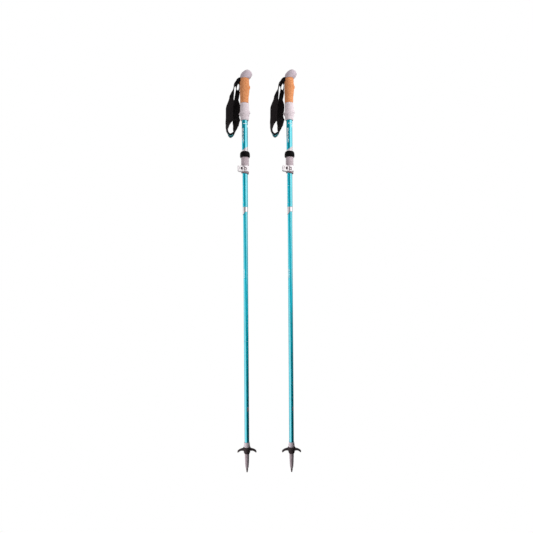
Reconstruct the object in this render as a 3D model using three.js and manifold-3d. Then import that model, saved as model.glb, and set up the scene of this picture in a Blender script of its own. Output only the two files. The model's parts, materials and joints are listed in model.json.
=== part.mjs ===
// A pair of folding trekking poles with cork grips, one lever clamp each and shock-corded lower shafts.
// Millimetres, +Z up. The poles stand upright, and the origin is the middle of the left pole's tip face.
// Heads lean towards +X, wrist straps hang on the -X side, and the clamp levers wrap round the -Y side.

import * as THREE from "three";
import { mergeVertices } from "three/addons/utils/BufferGeometryUtils.js";
import Module from "manifold-3d";

const wasm = await Module();
wasm.setup();

// ---------------------------------------------------------------- driving dimensions

const POLE_SPACING = 133; // between the two shafts' axes
const SIDES = 24; // facets round a visible turned part
const INNER_SIDES = 12; // facets round a hidden turned part
const GAP = 0.3; // clearance between neighbouring pieces

// Shaft sections, as outer radius and wall
const UPPER_R = 9;
const MIDDLE_R = 8;
const LOWER_R = 7;
const WALL = 0.7;
const UPPER_BORE = UPPER_R - WALL + 0.05;
const MIDDLE_BORE = MIDDLE_R - WALL;
const LOWER_BORE = LOWER_R - WALL + 0.1;

// Levels up the pole
const TIP_NOSE_Z = 12; // hard insert below, flexible tip above
const HUB_Z = 56.8; // underside of the basket's hub
const COLLAR_Z = 76; // underside of the tip's collar, which the basket stops on
const COLLAR_TOP_Z = 90;
const LOWER_JOINT_Z = 391; // flush joint between the two lower tubes
const UPPER_JOINT_Z = 780; // where the lower shaft butts inside the ferrule
const FERRULE_TOP_Z = 790;
const CLAMP_Z = 895; // underside of the clamp band
const CLAMP_TOP_Z = 912;
const SLEEVE_TOP_Z = 943;
const BOOT_Z = 938;
const BOOT_TOP_Z = 955.5;
const MIDDLE_TOP_Z = 1033;
const GRIP_Z = 1048;
const CORK_Z = 1099;
const CORE_Z = 1148; // the head's core starts here, on top of the upper tube
const HEAD_Z = 1172;
const HEAD_TOP_Z = 1200;

const SPIGOT_R = LOWER_BORE - GAP;
const SPIGOT_BORE = 2.8;
const SPIGOT_REACH = 42; // length that plugs into the tube above
const SPIGOT_ROOT = 45; // length fixed in the tube below
const CORD_R = 2;

const WEBBING_WIDTH = 16;
const STRAP_PIVOT = new THREE.Vector3(-18.5, 0, 1168.5);
const STRAP_PIN_X = -5;
const SLOT_HALF_HEIGHT = 6.6;

const SCREW_X = -17.9; // the clamp screw runs along Y, beside the shaft
const BARREL_Y = -8.6; // the lever's barrel pin stands along Z, in front of the lugs
const SCREW_Z = (CLAMP_Z + CLAMP_TOP_Z) / 2;
const SCREW_R = 1.5;
const SCREW_END_Y = 11;
const BARREL_R = 2.4;
const LEVER_HUB_R = 4.3;

// ---------------------------------------------------------------- materials

const material = (color, roughness, metalness = 0) =>
  new THREE.MeshStandardMaterial({ color, roughness, metalness });

const TEAL = material(0x12a5b8, 0.25, 0.8);
const BARE_ALUMINIUM = material(0xd8d6d8, 0.25, 1);
const WHITE_METAL = material(0xe9e5e7, 0.35, 0.3);
const STEEL = material(0x9a9a9c, 0.3, 1);
const DARK_STEEL = material(0x3a3436, 0.45, 1);
const CORK = material(0xd08a55, 0.9);
const GREY_RUBBER = material(0xcbc2c6, 0.8);
const GREY_PLASTIC = material(0xaaa0a4, 0.5);
const DARK_PLASTIC = material(0x2b2628, 0.5);
const BLACK_RUBBER = material(0x101010, 0.75);
const BLACK_FABRIC = material(0x18161a, 0.95);
const LABEL_FABRIC = material(0x3fa9b5, 0.85);
const CORD_FABRIC = material(0x222222, 0.9);

// ---------------------------------------------------------------- solids

// A closed three.js geometry as a manifold solid, turned outside out if its faces point inwards.
function solid(geometry) {
  const bare = new THREE.BufferGeometry();
  const source = geometry.index ? geometry.toNonIndexed() : geometry;
  bare.setAttribute("position", source.getAttribute("position"));
  const merged = mergeVertices(bare, 1e-4);
  const triVerts = new Uint32Array(merged.index.array);
  const build = () =>
    new wasm.Manifold(
      new wasm.Mesh({ numProp: 3, vertProperties: merged.attributes.position.array, triVerts }),
    );
  const made = build();
  if (made.volume() > 0) return made;
  for (let i = 0; i < triVerts.length; i += 3) {
    [triVerts[i + 1], triVerts[i + 2]] = [triVerts[i + 2], triVerts[i + 1]];
  }
  return build();
}

function geometryOf(made) {
  const mesh = made.getMesh();
  const positions = new Float32Array(mesh.numVert * 3);
  for (let i = 0; i < mesh.numVert; i++) {
    positions.set(mesh.vertProperties.subarray(i * mesh.numProp, i * mesh.numProp + 3), i * 3);
  }
  return new THREE.BufferGeometry()
    .setAttribute("position", new THREE.BufferAttribute(positions, 3))
    .setIndex(new THREE.BufferAttribute(new Uint32Array(mesh.triVerts), 1));
}

// A profile of [radius, height] corners turned round Z. It closes on itself or ends on the axis.
function turned(profile, sides = SIDES) {
  const points = profile.map(([radius, height]) => new THREE.Vector2(radius, height));
  const closesOnAxis = profile[0][0] === 0;
  if (!closesOnAxis) points.push(points[0].clone());
  return solid(new THREE.LatheGeometry(points, sides).rotateX(Math.PI / 2));
}

const tube = (outer, inner, low, high, sides = SIDES) =>
  turned([[inner, low], [outer, low], [outer, high], [inner, high]], sides);

const rod = (radius, low, high, sides = INNER_SIDES) =>
  turned([[0, low], [radius, low], [radius, high], [0, high]], sides);

// A rod along Y instead of Z, through the point (x, z)
const crossRod = (radius, from, to, x, z, sides = INNER_SIDES) =>
  solid(
    new THREE.CylinderGeometry(radius, radius, to - from, sides).translate(x, (from + to) / 2, z),
  );

const block = (low, high) =>
  solid(
    new THREE.BoxGeometry(high[0] - low[0], high[1] - low[1], high[2] - low[2]).translate(
      (low[0] + high[0]) / 2,
      (low[1] + high[1]) / 2,
      (low[2] + high[2]) / 2,
    ),
  );

// Rings of equally many points, joined into a skin with a fan over each end
function loft(rings) {
  const count = rings[0].length;
  const corners = rings.flat();
  const faces = [];
  for (let ring = 0; ring < rings.length - 1; ring++) {
    for (let i = 0; i < count; i++) {
      const a = ring * count + i;
      const b = ring * count + ((i + 1) % count);
      faces.push(a, b, b + count, a, b + count, a + count);
    }
  }
  const last = (rings.length - 1) * count;
  for (let i = 1; i < count - 1; i++) {
    faces.push(0, i + 1, i, last, last + i, last + i + 1);
  }
  const geometry = new THREE.BufferGeometry().setFromPoints(corners);
  geometry.setIndex(faces);
  return solid(geometry);
}

// Level ovals up the grip: each entry is [height, left, right, half depth]
function ovals(levels, sides = SIDES) {
  return loft(
    levels.map(([height, left, right, halfDepth]) => {
      const centre = (left + right) / 2;
      const halfWidth = (right - left) / 2;
      return Array.from({ length: sides }, (_, i) => {
        const angle = (i / sides) * Math.PI * 2;
        return new THREE.Vector3(
          centre + halfWidth * Math.cos(angle),
          halfDepth * Math.sin(angle),
          height,
        );
      });
    }),
  );
}

// ---------------------------------------------------------------- grip

const slotBlock = (from, to, halfWidth) =>
  block(
    [from, -halfWidth, STRAP_PIVOT.z - SLOT_HALF_HEIGHT],
    [to, halfWidth, STRAP_PIVOT.z + SLOT_HALF_HEIGHT],
  );

function headCap() {
  const dome = ovals([
    [HEAD_Z + GAP, -13.6, 14.0, 13.4],
    [HEAD_Z + 2.5, -13.3, 16.4, 13.8],
    [HEAD_Z + 5, -13.0, 18.9, 14.2],
    [HEAD_Z + 8, -12.6, 20.9, 14.4],
    [HEAD_Z + 11.5, -11.8, 22.6, 14.3],
    [HEAD_Z + 15, -10.0, 23.1, 13.9],
    [HEAD_Z + 18.5, -7.1, 21.9, 12.7],
    [HEAD_Z + 21.5, -3.9, 20.2, 11.0],
    [HEAD_Z + 24.2, -0.4, 17.2, 8.4],
    [HEAD_Z + 26.4, 3.6, 13.8, 5.0],
    [HEAD_TOP_Z, 7.6, 10.4, 1.3],
  ]);
  const core = rod(11.6, CORE_Z, HEAD_Z + 2, SIDES);
  const stem = rod(UPPER_BORE - GAP, CORE_Z - 9, CORE_Z + 2);
  return dome
    .add(core)
    .add(stem)
    .subtract(slotBlock(-30, 0, WEBBING_WIDTH / 2 + GAP))
    .subtract(crossRod(1.5 + GAP, -14, 14, STRAP_PIN_X, STRAP_PIVOT.z));
}

function corkGrip() {
  const body = ovals([
    [CORK_Z, -13.3, 11.9, 12.8],
    [CORK_Z + 16, -13.5, 12.1, 13.0],
    [CORK_Z + 27, -13.8, 13.4, 13.6],
    [CORK_Z + 40, -14.1, 14.6, 13.9],
    [CORK_Z + 49, -14.2, 17.0, 13.9],
    [CORK_Z + 54, -14.2, 15.2, 13.8],
    [CORK_Z + 61, -14.0, 14.0, 13.6],
    [HEAD_Z, -13.7, 13.6, 13.4],
  ]);
  const bore = rod(UPPER_R + GAP, CORK_Z - 1, HEAD_Z + 1, SIDES);
  const coreSeat = rod(11.9, CORE_Z - GAP, HEAD_Z + 1, SIDES);
  return body
    .subtract(bore)
    .subtract(coreSeat)
    .subtract(slotBlock(-30, 0, WEBBING_WIDTH / 2 + 2 * GAP));
}

function lowerGrip() {
  const body = ovals([
    [GRIP_Z, -11.3, 11.3, 11.3],
    [GRIP_Z + 4, -12.6, 12.5, 12.5],
    [GRIP_Z + 11, -12.9, 12.9, 12.9],
    [GRIP_Z + 15, -15.2, 13.9, 14.2],
    [GRIP_Z + 18.5, -17.2, 14.9, 15.6],
    [GRIP_Z + 24, -14.7, 16.3, 15.4],
    [GRIP_Z + 29, -13.6, 14.4, 13.9],
    [GRIP_Z + 36, -13.4, 13.2, 13.3],
    [CORK_Z - GAP, -13.3, 12.1, 12.8],
  ]);
  return body.subtract(rod(UPPER_R + GAP, GRIP_Z - 1, CORK_Z + 1, SIDES));
}

const strapPin = () => crossRod(1.5, -9.4, 9.4, STRAP_PIN_X, STRAP_PIVOT.z);

// The fixed end of the webbing, looped round the pin and reaching the mouth of the slot
function strapRoot() {
  const half = WEBBING_WIDTH / 2 - GAP;
  const loop = block([-14.6, -half, STRAP_PIVOT.z - 3.2], [-1.2, half, STRAP_PIVOT.z + 3.2]);
  return loop.subtract(crossRod(1.5 + GAP, -14, 14, STRAP_PIN_X, STRAP_PIVOT.z));
}

// A wedge under the webbing jams it in the slot
function strapWedge() {
  const low = STRAP_PIVOT.z - SLOT_HALF_HEIGHT + GAP;
  const high = STRAP_PIVOT.z - 3.2 - GAP;
  const outline = new THREE.Shape([
    new THREE.Vector2(-13.2, low),
    new THREE.Vector2(-3, low),
    new THREE.Vector2(-3, high - 0.9),
    new THREE.Vector2(-13.2, high),
  ]);
  const depth = WEBBING_WIDTH - 2;
  return solid(
    new THREE.ExtrudeGeometry(outline, { depth, bevelEnabled: false })
      .translate(0, 0, -depth / 2)
      .rotateX(Math.PI / 2),
  );
}

// ---------------------------------------------------------------- wrist strap

// The hanging loop as two legs, each listed from the slot down to the bottom of the loop: height, x, y,
// turn about Z in degrees, and band width. The outer leg hangs in front of the inner one.
const OUTER_LEG = [
  [1171.1, -18.4, 0, 2, 15],
  [1169.8, -21.2, -0.3, 22, 15],
  [1165, -24.0, -0.6, 36, 15],
  [1158.5, -26.6, -0.9, 38, 15],
  [1152, -28.6, -1, 26, 15],
  [1146, -31.5, -1, 11, 15],
  [1141, -33.2, -1, 16, 15],
  [1135, -35.3, -1, 30, 15],
  [1129, -36.6, -1, 40, 16.5],
  [1123, -38.3, -1, 46, 18],
  [1117, -39.0, 0, 43, 20],
  [1111, -40.6, 1, 41, 23],
  [1105, -41.7, 2, 45, 26.5],
  [1093, -45.4, 3, 46, 28.5],
  [1079, -46.2, 3, 44, 29.5],
  [1063, -46.6, 3, 42, 30],
  [1051, -47.4, 3, 42, 30],
  [1045, -47.7, 3, 43, 29],
  [1039, -49.6, 3, 32, 28.5],
  [1033, -51.5, 3, 24, 28],
  [1027, -52.2, 3, 17, 27.5],
  [1021, -52.9, 3, 10, 27],
  [1016, -51.4, 3.5, 4, 26],
  [1011.5, -49.4, 4, 0, 25.5],
  [1007.6, -47.0, 4, 0, 25],
  [1005.6, -44.8, 4, 0, 25],
];
const INNER_LEG = [
  [1167.0, -18.4, 0.6, 2, 15],
  [1164.5, -20.2, 1.0, 26, 15],
  [1160.5, -22.6, 1.3, 30, 13],
  [1156, -23.6, 1.6, 32, 13],
  [1151, -24.2, 2, 18, 11],
  [1146, -24.4, 2.4, 4, 10],
  [1141, -24.6, 2.8, 12, 10],
  [1137, -22.8, 3.2, 38, 14],
  [1134, -21.2, 3.8, 51, 16.5],
  [1129, -21.8, 4.8, 50, 18],
  [1123, -23.1, 6, 48, 18.5],
  [1117, -24.2, 7, 44.5, 19.5],
  [1111, -26.0, 8.5, 41, 21.5],
  [1105, -26.4, 10, 46, 25],
  [1099, -25.8, 12, 50, 28],
  [1093, -25.9, 13.5, 52, 29],
  [1081, -26.6, 15.5, 52, 30],
  [1069, -28.0, 17, 46, 30],
  [1060, -27.8, 17, 46, 30],
  [1051, -25.5, 9, 51, 29],
  [1045, -26.2, 8.5, 45, 29],
  [1039, -26.4, 8, 38, 28.5],
  [1033, -27.2, 7.5, 36, 28],
  [1027, -28.6, 7, 28, 28],
  [1021, -29.4, 6.5, 20, 27.5],
  [1016, -30.8, 6, 8, 27],
  [1011.5, -33.8, 5, 2, 26],
  [1007.6, -38.2, 4.3, 0, 25],
  [1005.6, -41.4, 4, 0, 25],
];
// The webbing's doubled-back end, a third strand between the grip and the inner leg
const TAIL = [
  [1166.5, -18.3, 0.8, 6, 14],
  [1162, -17.1, 1.2, 8, 11],
  [1156, -15.7, 1.6, 0, 9],
  [1149, -15.9, 2, 2, 9],
  [1145, -16.4, 2.4, 8, 10],
  [1140, -17.6, 3.0, 22, 12],
  [1134, -21.0, 3.8, 47, 14],
];
const OUTER_PAD_START = 10; // webbing above these levels, padded band below
const INNER_PAD_START = 11;
const WEBBING_THICKNESS = 1.8;
const PAD_THICKNESS = 2.8;
const LABEL_THICKNESS = 0.8;
const LABEL_LEVELS = 2; // the label wraps this many levels on each side of the bottom

const LOOP = [...OUTER_LEG, ...[...INNER_LEG].reverse()];
const LOOP_END = LOOP.length - 1;

// Cross-section frames along a list of levels, between two of its indices
function strapFrames(levels, first, last) {
  const centres = levels.map(([height, x, y]) => new THREE.Vector3(x, y, height));
  const curve = new THREE.CatmullRomCurve3(centres);
  const frames = [];
  for (let i = first; i <= last; i++) {
    const [, , , turn, width] = levels[i];
    const angle = THREE.MathUtils.degToRad(turn);
    const across = new THREE.Vector3(-Math.sin(angle), Math.cos(angle), 0);
    const along = curve.getTangent(i / (levels.length - 1));
    const out = new THREE.Vector3().crossVectors(across, along).normalize();
    frames.push({ centre: centres[i], across, out, width });
  }
  return frames;
}

// A flat band swept through those frames, offset outwards from the loop's middle surface
function band(frames, thickness, offset = 0, widthShare = 1) {
  return loft(
    frames.map(({ centre, across, out, width }) => {
      const corner = (sideways, outwards) =>
        centre
          .clone()
          .addScaledVector(across, (sideways * width * widthShare) / 2)
          .addScaledVector(out, offset + (outwards * thickness) / 2);
      return [corner(-1, -1), corner(1, -1), corner(1, 1), corner(-1, 1)];
    }),
  );
}

function strapWebbing() {
  const outer = band(strapFrames(LOOP, 0, OUTER_PAD_START), WEBBING_THICKNESS);
  const inner = band(strapFrames(LOOP, LOOP_END - INNER_PAD_START, LOOP_END), WEBBING_THICKNESS);
  const tail = band(strapFrames(TAIL, 0, TAIL.length - 1), WEBBING_THICKNESS);
  const hinge = crossRod(2.4, -WEBBING_WIDTH / 2, WEBBING_WIDTH / 2, STRAP_PIVOT.x, STRAP_PIVOT.z);
  return outer.add(inner).add(tail).add(hinge).subtract(strapPad(GAP));
}

function strapPad(margin = 0) {
  const frames = strapFrames(LOOP, OUTER_PAD_START, LOOP_END - INNER_PAD_START);
  return band(frames, PAD_THICKNESS + 2 * margin);
}

function strapLabel() {
  const bottom = OUTER_LEG.length;
  const frames = strapFrames(LOOP, bottom - LABEL_LEVELS, bottom - 1 + LABEL_LEVELS);
  return band(frames, LABEL_THICKNESS, (PAD_THICKNESS + LABEL_THICKNESS) / 2 + GAP, 0.7);
}

// ---------------------------------------------------------------- lever clamp

const clampBoot = () =>
  turned([
    [UPPER_R + GAP, SLEEVE_TOP_Z + GAP],
    [11.8, SLEEVE_TOP_Z + GAP],
    [11.8, BOOT_Z],
    [14.2, BOOT_Z],
    [14.9, BOOT_Z + 3],
    [14.9, BOOT_TOP_Z - 9],
    [14.3, BOOT_TOP_Z - 4.5],
    [12.6, BOOT_TOP_Z - 1.4],
    [10.2, BOOT_TOP_Z],
    [UPPER_R + GAP, BOOT_TOP_Z],
  ]);

const SLEEVE_STEP_Z = 925; // the upper tube stands on this step inside the sleeve

function clampSleeve() {
  const body = turned([
    [MIDDLE_R + GAP, CLAMP_Z - 1.7],
    [10.6, CLAMP_Z - 1.7],
    [10.6, CLAMP_TOP_Z + GAP],
    [11.5, CLAMP_TOP_Z + GAP],
    [11.5, SLEEVE_TOP_Z],
    [UPPER_R + GAP, SLEEVE_TOP_Z],
    [UPPER_R + GAP, SLEEVE_STEP_Z],
    [MIDDLE_R + GAP, SLEEVE_STEP_Z],
  ]);
  const slit = block([-20, -0.8, CLAMP_Z - 3], [0, 0.8, CLAMP_TOP_Z + 4]);
  return body.subtract(slit);
}

// Soft ring under the clamp. Its foot is cut at a slant, lower on the +X side.
function wiperRing() {
  const ring = turned([
    [MIDDLE_R + GAP, CLAMP_Z - 9],
    [10.4, CLAMP_Z - 9],
    [11.4, CLAMP_Z - 5],
    [11.4, CLAMP_Z - 2],
    [MIDDLE_R + GAP, CLAMP_Z - 2],
  ]);
  const slant = block([-30, -20, -20], [30, 20, 0])
    .rotate([0, 9, 0])
    .translate(0, 0, CLAMP_Z - 4.8);
  return ring.subtract(slant);
}

const upperTube = () => tube(UPPER_R, UPPER_BORE, SLEEVE_STEP_Z + GAP, CORE_Z - GAP);

// A wedge-shaped prism round the shaft between two angles, in degrees anticlockwise from +X
function sector(from, to, low, high, reach = 40) {
  const corners = [new THREE.Vector2()];
  const steps = 6;
  for (let i = 0; i <= steps; i++) {
    const angle = THREE.MathUtils.degToRad(from + ((to - from) * i) / steps);
    corners.push(new THREE.Vector2(reach * Math.cos(angle), reach * Math.sin(angle)));
  }
  const extrusion = { depth: high - low, bevelEnabled: false };
  return solid(new THREE.ExtrudeGeometry(new THREE.Shape(corners), extrusion).translate(0, 0, low));
}

const LUG_OUT = 4.2;
const LUG_IN = 1.2;
const LUG_END_X = SCREW_X - LEVER_HUB_R;

// Band round the sleeve, with a split between two lugs and a raised catch pad for the lever's end
function clampBand() {
  const ring = tube(11.9, 10.9, CLAMP_Z, CLAMP_TOP_Z);
  const lugs = block([LUG_END_X, -LUG_OUT, CLAMP_Z + 1], [-11.2, LUG_OUT, CLAMP_TOP_Z - 1]);
  const catchPad = tube(13.6, 11.4, CLAMP_Z + 0.5, CLAMP_TOP_Z - 1.5).intersect(
    sector(268, 330, CLAMP_Z, CLAMP_TOP_Z),
  );
  const recess = crossRod(4.4, -20, -12.4, 2.4, SCREW_Z - 1.5).subtract(
    crossRod(2.4, -20, -12, 1.6, SCREW_Z - 2),
  );
  return ring
    .add(lugs)
    .add(catchPad)
    .subtract(recess)
    .subtract(rod(10.9, CLAMP_Z - 1, CLAMP_TOP_Z + 1, SIDES))
    .subtract(block([-30, -LUG_IN, CLAMP_Z - 1], [-8, LUG_IN, CLAMP_TOP_Z + 1]))
    .subtract(crossRod(SCREW_R + GAP, -20, 20, SCREW_X, SCREW_Z));
}

const leverBarrel = () =>
  rod(BARREL_R, CLAMP_Z + 1, CLAMP_TOP_Z - 1)
    .translate(SCREW_X, BARREL_Y, 0)
    .subtract(crossRod(SCREW_R + GAP, -20, 20, SCREW_X, SCREW_Z));

// The screw passes through the barrel and both lugs, and carries the thumb nut behind them
const clampScrew = () => crossRod(SCREW_R, BARREL_Y - 2, SCREW_END_Y, SCREW_X, SCREW_Z);

const LEVER_LOW = CLAMP_Z + 0.2;
const LEVER_HIGH = CLAMP_TOP_Z - 0.2;
const LEVER_OUT_R = 14.8;
const LEVER_IN_R = 12.6;

// The lever's curved arm, the hub round its barrel, and the neck between them
function leverPlate() {
  const arm = tube(LEVER_OUT_R, LEVER_IN_R, LEVER_LOW, LEVER_HIGH).intersect(
    sector(214, 258, CLAMP_Z, CLAMP_TOP_Z),
  );
  const hub = rod(LEVER_HUB_R, LEVER_LOW, LEVER_HIGH, SIDES).translate(SCREW_X, BARREL_Y, 0);
  const neckLow = [SCREW_X, BARREL_Y - LEVER_HUB_R, LEVER_LOW];
  const neckHigh = [-9, BARREL_Y - 0.8, LEVER_HIGH];
  const neckRoom = rod(LEVER_IN_R, CLAMP_Z, CLAMP_TOP_Z, SIDES);
  return arm.add(hub).add(block(neckLow, neckHigh).subtract(neckRoom));
}

// An upright slot through the lever, seen from the front
function leverSlot() {
  const reach = 1.2;
  const radius = 3.2;
  const middle = -9.0;
  return crossRod(radius, -20, -9, middle, SCREW_Z + reach)
    .add(crossRod(radius, -20, -9, middle, SCREW_Z - reach))
    .add(block([middle - radius, -20, SCREW_Z - reach], [middle + radius, -9, SCREW_Z + reach]));
}

// The lever wraps the front of the shaft, and its hub turns on the barrel over the screw
function clampLever() {
  const screwRoom = block(
    [SCREW_X - 6, BARREL_Y - 5, SCREW_Z - 2.2],
    [SCREW_X + 1.9, BARREL_Y + 6, SCREW_Z + 2.2],
  );
  const slantedCorner = block([-6, -20, 0], [8, 20, 8])
    .rotate([0, 38, 0])
    .translate(-4.4, 0, CLAMP_TOP_Z - 3.4);
  return leverPlate()
    .subtract(rod(BARREL_R + GAP, CLAMP_Z, CLAMP_TOP_Z).translate(SCREW_X, BARREL_Y, 0))
    .subtract(screwRoom)
    .subtract(leverSlot())
    .subtract(slantedCorner);
}

// Thumb nut on the back of the lugs, with finger scallops round its rim
function thumbNut() {
  const low = LUG_OUT + GAP;
  const high = low + 5;
  let nut = crossRod(4.6, low, high, SCREW_X, SCREW_Z, SIDES);
  const scallops = 8;
  for (let i = 0; i < scallops; i++) {
    const angle = (i / scallops) * Math.PI * 2;
    const x = SCREW_X + 5.3 * Math.cos(angle);
    const z = SCREW_Z + 5.3 * Math.sin(angle);
    nut = nut.subtract(crossRod(1.2, low - 1, high + 1, x, z, 10));
  }
  return nut.subtract(crossRod(SCREW_R + GAP, low - 1, high + 1, SCREW_X, SCREW_Z));
}

// ---------------------------------------------------------------- shaft below the clamp

const middleTube = () => tube(MIDDLE_R, MIDDLE_BORE, FERRULE_TOP_Z + GAP, MIDDLE_TOP_Z);

const guideBush = () =>
  turned(
    [
      [0, MIDDLE_TOP_Z - 18],
      [MIDDLE_BORE - GAP, MIDDLE_TOP_Z - 18],
      [MIDDLE_BORE - GAP, MIDDLE_TOP_Z + GAP],
      [UPPER_BORE - 0.2, MIDDLE_TOP_Z + GAP],
      [UPPER_BORE - 0.2, MIDDLE_TOP_Z + 3],
      [0, MIDDLE_TOP_Z + 4],
    ],
    INNER_SIDES,
  );

// Socket at the foot of the middle tube. Its lip ends level on the +X side and runs down to a point on -X.
function ferrule() {
  const lipZ = UPPER_JOINT_Z - 4;
  const body = turned([
    [MIDDLE_BORE, UPPER_JOINT_Z - 14],
    [MIDDLE_R, UPPER_JOINT_Z - 14],
    [MIDDLE_R, FERRULE_TOP_Z],
    [MIDDLE_BORE - 0.2, FERRULE_TOP_Z],
    [MIDDLE_BORE - 0.2, FERRULE_TOP_Z + 22],
    [LOWER_BORE, FERRULE_TOP_Z + 22],
    [LOWER_BORE, UPPER_JOINT_Z],
    [MIDDLE_BORE, UPPER_JOINT_Z],
  ]);
  const levelCut = block([0.5, -20, lipZ - 20], [20, 20, lipZ]);
  const slantCut = block([-40, -20, -30], [0, 20, 0])
    .rotate([0, -48, 0])
    .translate(0.5, 0, lipZ);
  return body.subtract(levelCut).subtract(slantCut);
}

const lowerTube = () => tube(LOWER_R, LOWER_BORE, LOWER_JOINT_Z + GAP / 2, UPPER_JOINT_Z - GAP);

const bottomTube = () => tube(LOWER_R, LOWER_BORE, COLLAR_Z + 4, LOWER_JOINT_Z - GAP / 2);

// Plug that joins two sections: fixed in the tube below, free to slide out of the one above
const spigot = (joint) =>
  turned(
    [
      [SPIGOT_BORE, joint - SPIGOT_ROOT],
      [SPIGOT_R, joint - SPIGOT_ROOT],
      [SPIGOT_R, joint + SPIGOT_REACH - 3],
      [SPIGOT_R - 1.6, joint + SPIGOT_REACH],
      [SPIGOT_BORE, joint + SPIGOT_REACH],
    ],
    SIDES,
  );

const shockCord = () => rod(CORD_R, LOWER_JOINT_Z - 110, UPPER_JOINT_Z + 105, 10);

// ---------------------------------------------------------------- tip

// Moulded tip: a cup and plug that hold the bottom tube, a collar for the basket, and a flexible nose
const flexTip = () =>
  turned([
    [0, TIP_NOSE_Z + 10],
    [2.8, TIP_NOSE_Z + 10],
    [2.8, TIP_NOSE_Z + GAP],
    [3.6, TIP_NOSE_Z + GAP],
    [4.8, TIP_NOSE_Z + 4],
    [5.7, TIP_NOSE_Z + 18],
    [6.4, TIP_NOSE_Z + 36],
    [6.6, TIP_NOSE_Z + 48],
    [6.6, COLLAR_Z],
    [9.4, COLLAR_Z],
    [9.1, COLLAR_Z + 6],
    [7.9, COLLAR_TOP_Z],
    [LOWER_R + GAP, COLLAR_TOP_Z],
    [LOWER_R + GAP, COLLAR_Z + 4 - GAP],
    [LOWER_BORE - GAP, COLLAR_Z + 4 - GAP],
    [LOWER_BORE - GAP, COLLAR_Z + 38],
    [0, COLLAR_Z + 38],
  ]);

// Hard insert: a flat-ended point on a stem that is pressed up into the tip
const tipInsert = () =>
  turned(
    [
      [0, 0],
      [1.8, 0],
      [2.0, 1],
      [3.1, TIP_NOSE_Z - 3],
      [3.1, TIP_NOSE_Z],
      [2.5, TIP_NOSE_Z],
      [2.5, TIP_NOSE_Z + 10 - GAP],
      [0, TIP_NOSE_Z + 10 - GAP],
    ],
    INNER_SIDES,
  );

const BASKET_TOP_Z = COLLAR_Z - GAP;
// The basket's wings, from the shaft out to one end: reach, half width, drop of the top below the hub's
// top, thickness
const WING = [
  [0, 8.4, 4.8, 5.0],
  [10, 8.0, 4.9, 5.0],
  [14, 5.6, 5.1, 4.8],
  [18.5, 4.6, 5.9, 4.6],
  [22, 4.3, 7.4, 5.0],
  [25, 4.2, 9.4, 5.6],
  [27.0, 3.5, 11.2, 5.2],
  [28.2, 2.0, 12.9, 3.0],
];

// Small trail basket: a conical hub with two narrow wings that curve down at their ends
function basket() {
  const station = (x, halfWidth, drop, thickness) => {
    const top = BASKET_TOP_Z - drop;
    const low = top - thickness;
    return [
      new THREE.Vector3(x, -halfWidth, low),
      new THREE.Vector3(x, halfWidth, low),
      new THREE.Vector3(x, halfWidth - 0.8, top),
      new THREE.Vector3(x, 0.8 - halfWidth, top),
    ];
  };
  const leftHalf = WING.slice(1)
    .reverse()
    .map(([x, ...size]) => station(-x, ...size));
  const rightHalf = WING.map((size) => station(...size));
  const hub = turned([
    [0, HUB_Z],
    [7.8, HUB_Z],
    [8.6, HUB_Z + 2],
    [11.4, BASKET_TOP_Z - 6],
    [11.2, BASKET_TOP_Z - 2],
    [10.0, BASKET_TOP_Z],
    [0, BASKET_TOP_Z],
  ]);
  return loft([...leftHalf, ...rightHalf])
    .add(hub)
    .subtract(rod(6.6 + GAP, HUB_Z - 1, BASKET_TOP_Z + 1, SIDES));
}

// ---------------------------------------------------------------- assembly

const PIECES = [
  ["head_cap", headCap, GREY_RUBBER],
  ["cork_grip", corkGrip, CORK],
  ["lower_grip", lowerGrip, GREY_RUBBER],
  ["strap_pin", strapPin, STEEL],
  ["strap_root", strapRoot, BLACK_FABRIC],
  ["strap_wedge", strapWedge, DARK_PLASTIC],
  ["strap_webbing", strapWebbing, BLACK_FABRIC],
  ["strap_pad", strapPad, BLACK_FABRIC],
  ["strap_label", strapLabel, LABEL_FABRIC],
  ["upper_tube", upperTube, TEAL],
  ["clamp_boot", clampBoot, BLACK_RUBBER],
  ["clamp_sleeve", clampSleeve, GREY_PLASTIC],
  ["clamp_band", clampBand, WHITE_METAL],
  ["clamp_lever", clampLever, WHITE_METAL],
  ["lever_barrel", leverBarrel, STEEL],
  ["clamp_screw", clampScrew, STEEL],
  ["thumb_nut", thumbNut, DARK_STEEL],
  ["wiper_ring", wiperRing, DARK_PLASTIC],
  ["middle_tube", middleTube, TEAL],
  ["guide_bush", guideBush, DARK_PLASTIC],
  ["ferrule", ferrule, BARE_ALUMINIUM],
  ["lower_tube", lowerTube, TEAL],
  ["upper_spigot", () => spigot(UPPER_JOINT_Z), BARE_ALUMINIUM],
  ["bottom_tube", bottomTube, TEAL],
  ["lower_spigot", () => spigot(LOWER_JOINT_Z), BARE_ALUMINIUM],
  ["shock_cord", shockCord, CORD_FABRIC],
  ["flex_tip", flexTip, GREY_PLASTIC],
  ["basket", basket, DARK_PLASTIC],
  ["tip_insert", tipInsert, DARK_STEEL],
];

const geometries = PIECES.map(([, make]) => geometryOf(make()));

function pole(side) {
  const group = new THREE.Group();
  PIECES.forEach(([name, , look], i) => {
    const mesh = new THREE.Mesh(geometries[i], look);
    mesh.name = `${side}_${name}`;
    group.add(mesh);
  });
  return group;
}

const poles = new THREE.Group();
const leftPole = pole("left");
const rightPole = pole("right");
rightPole.position.x = POLE_SPACING;
poles.add(leftPole, rightPole);

export default poles;
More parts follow.
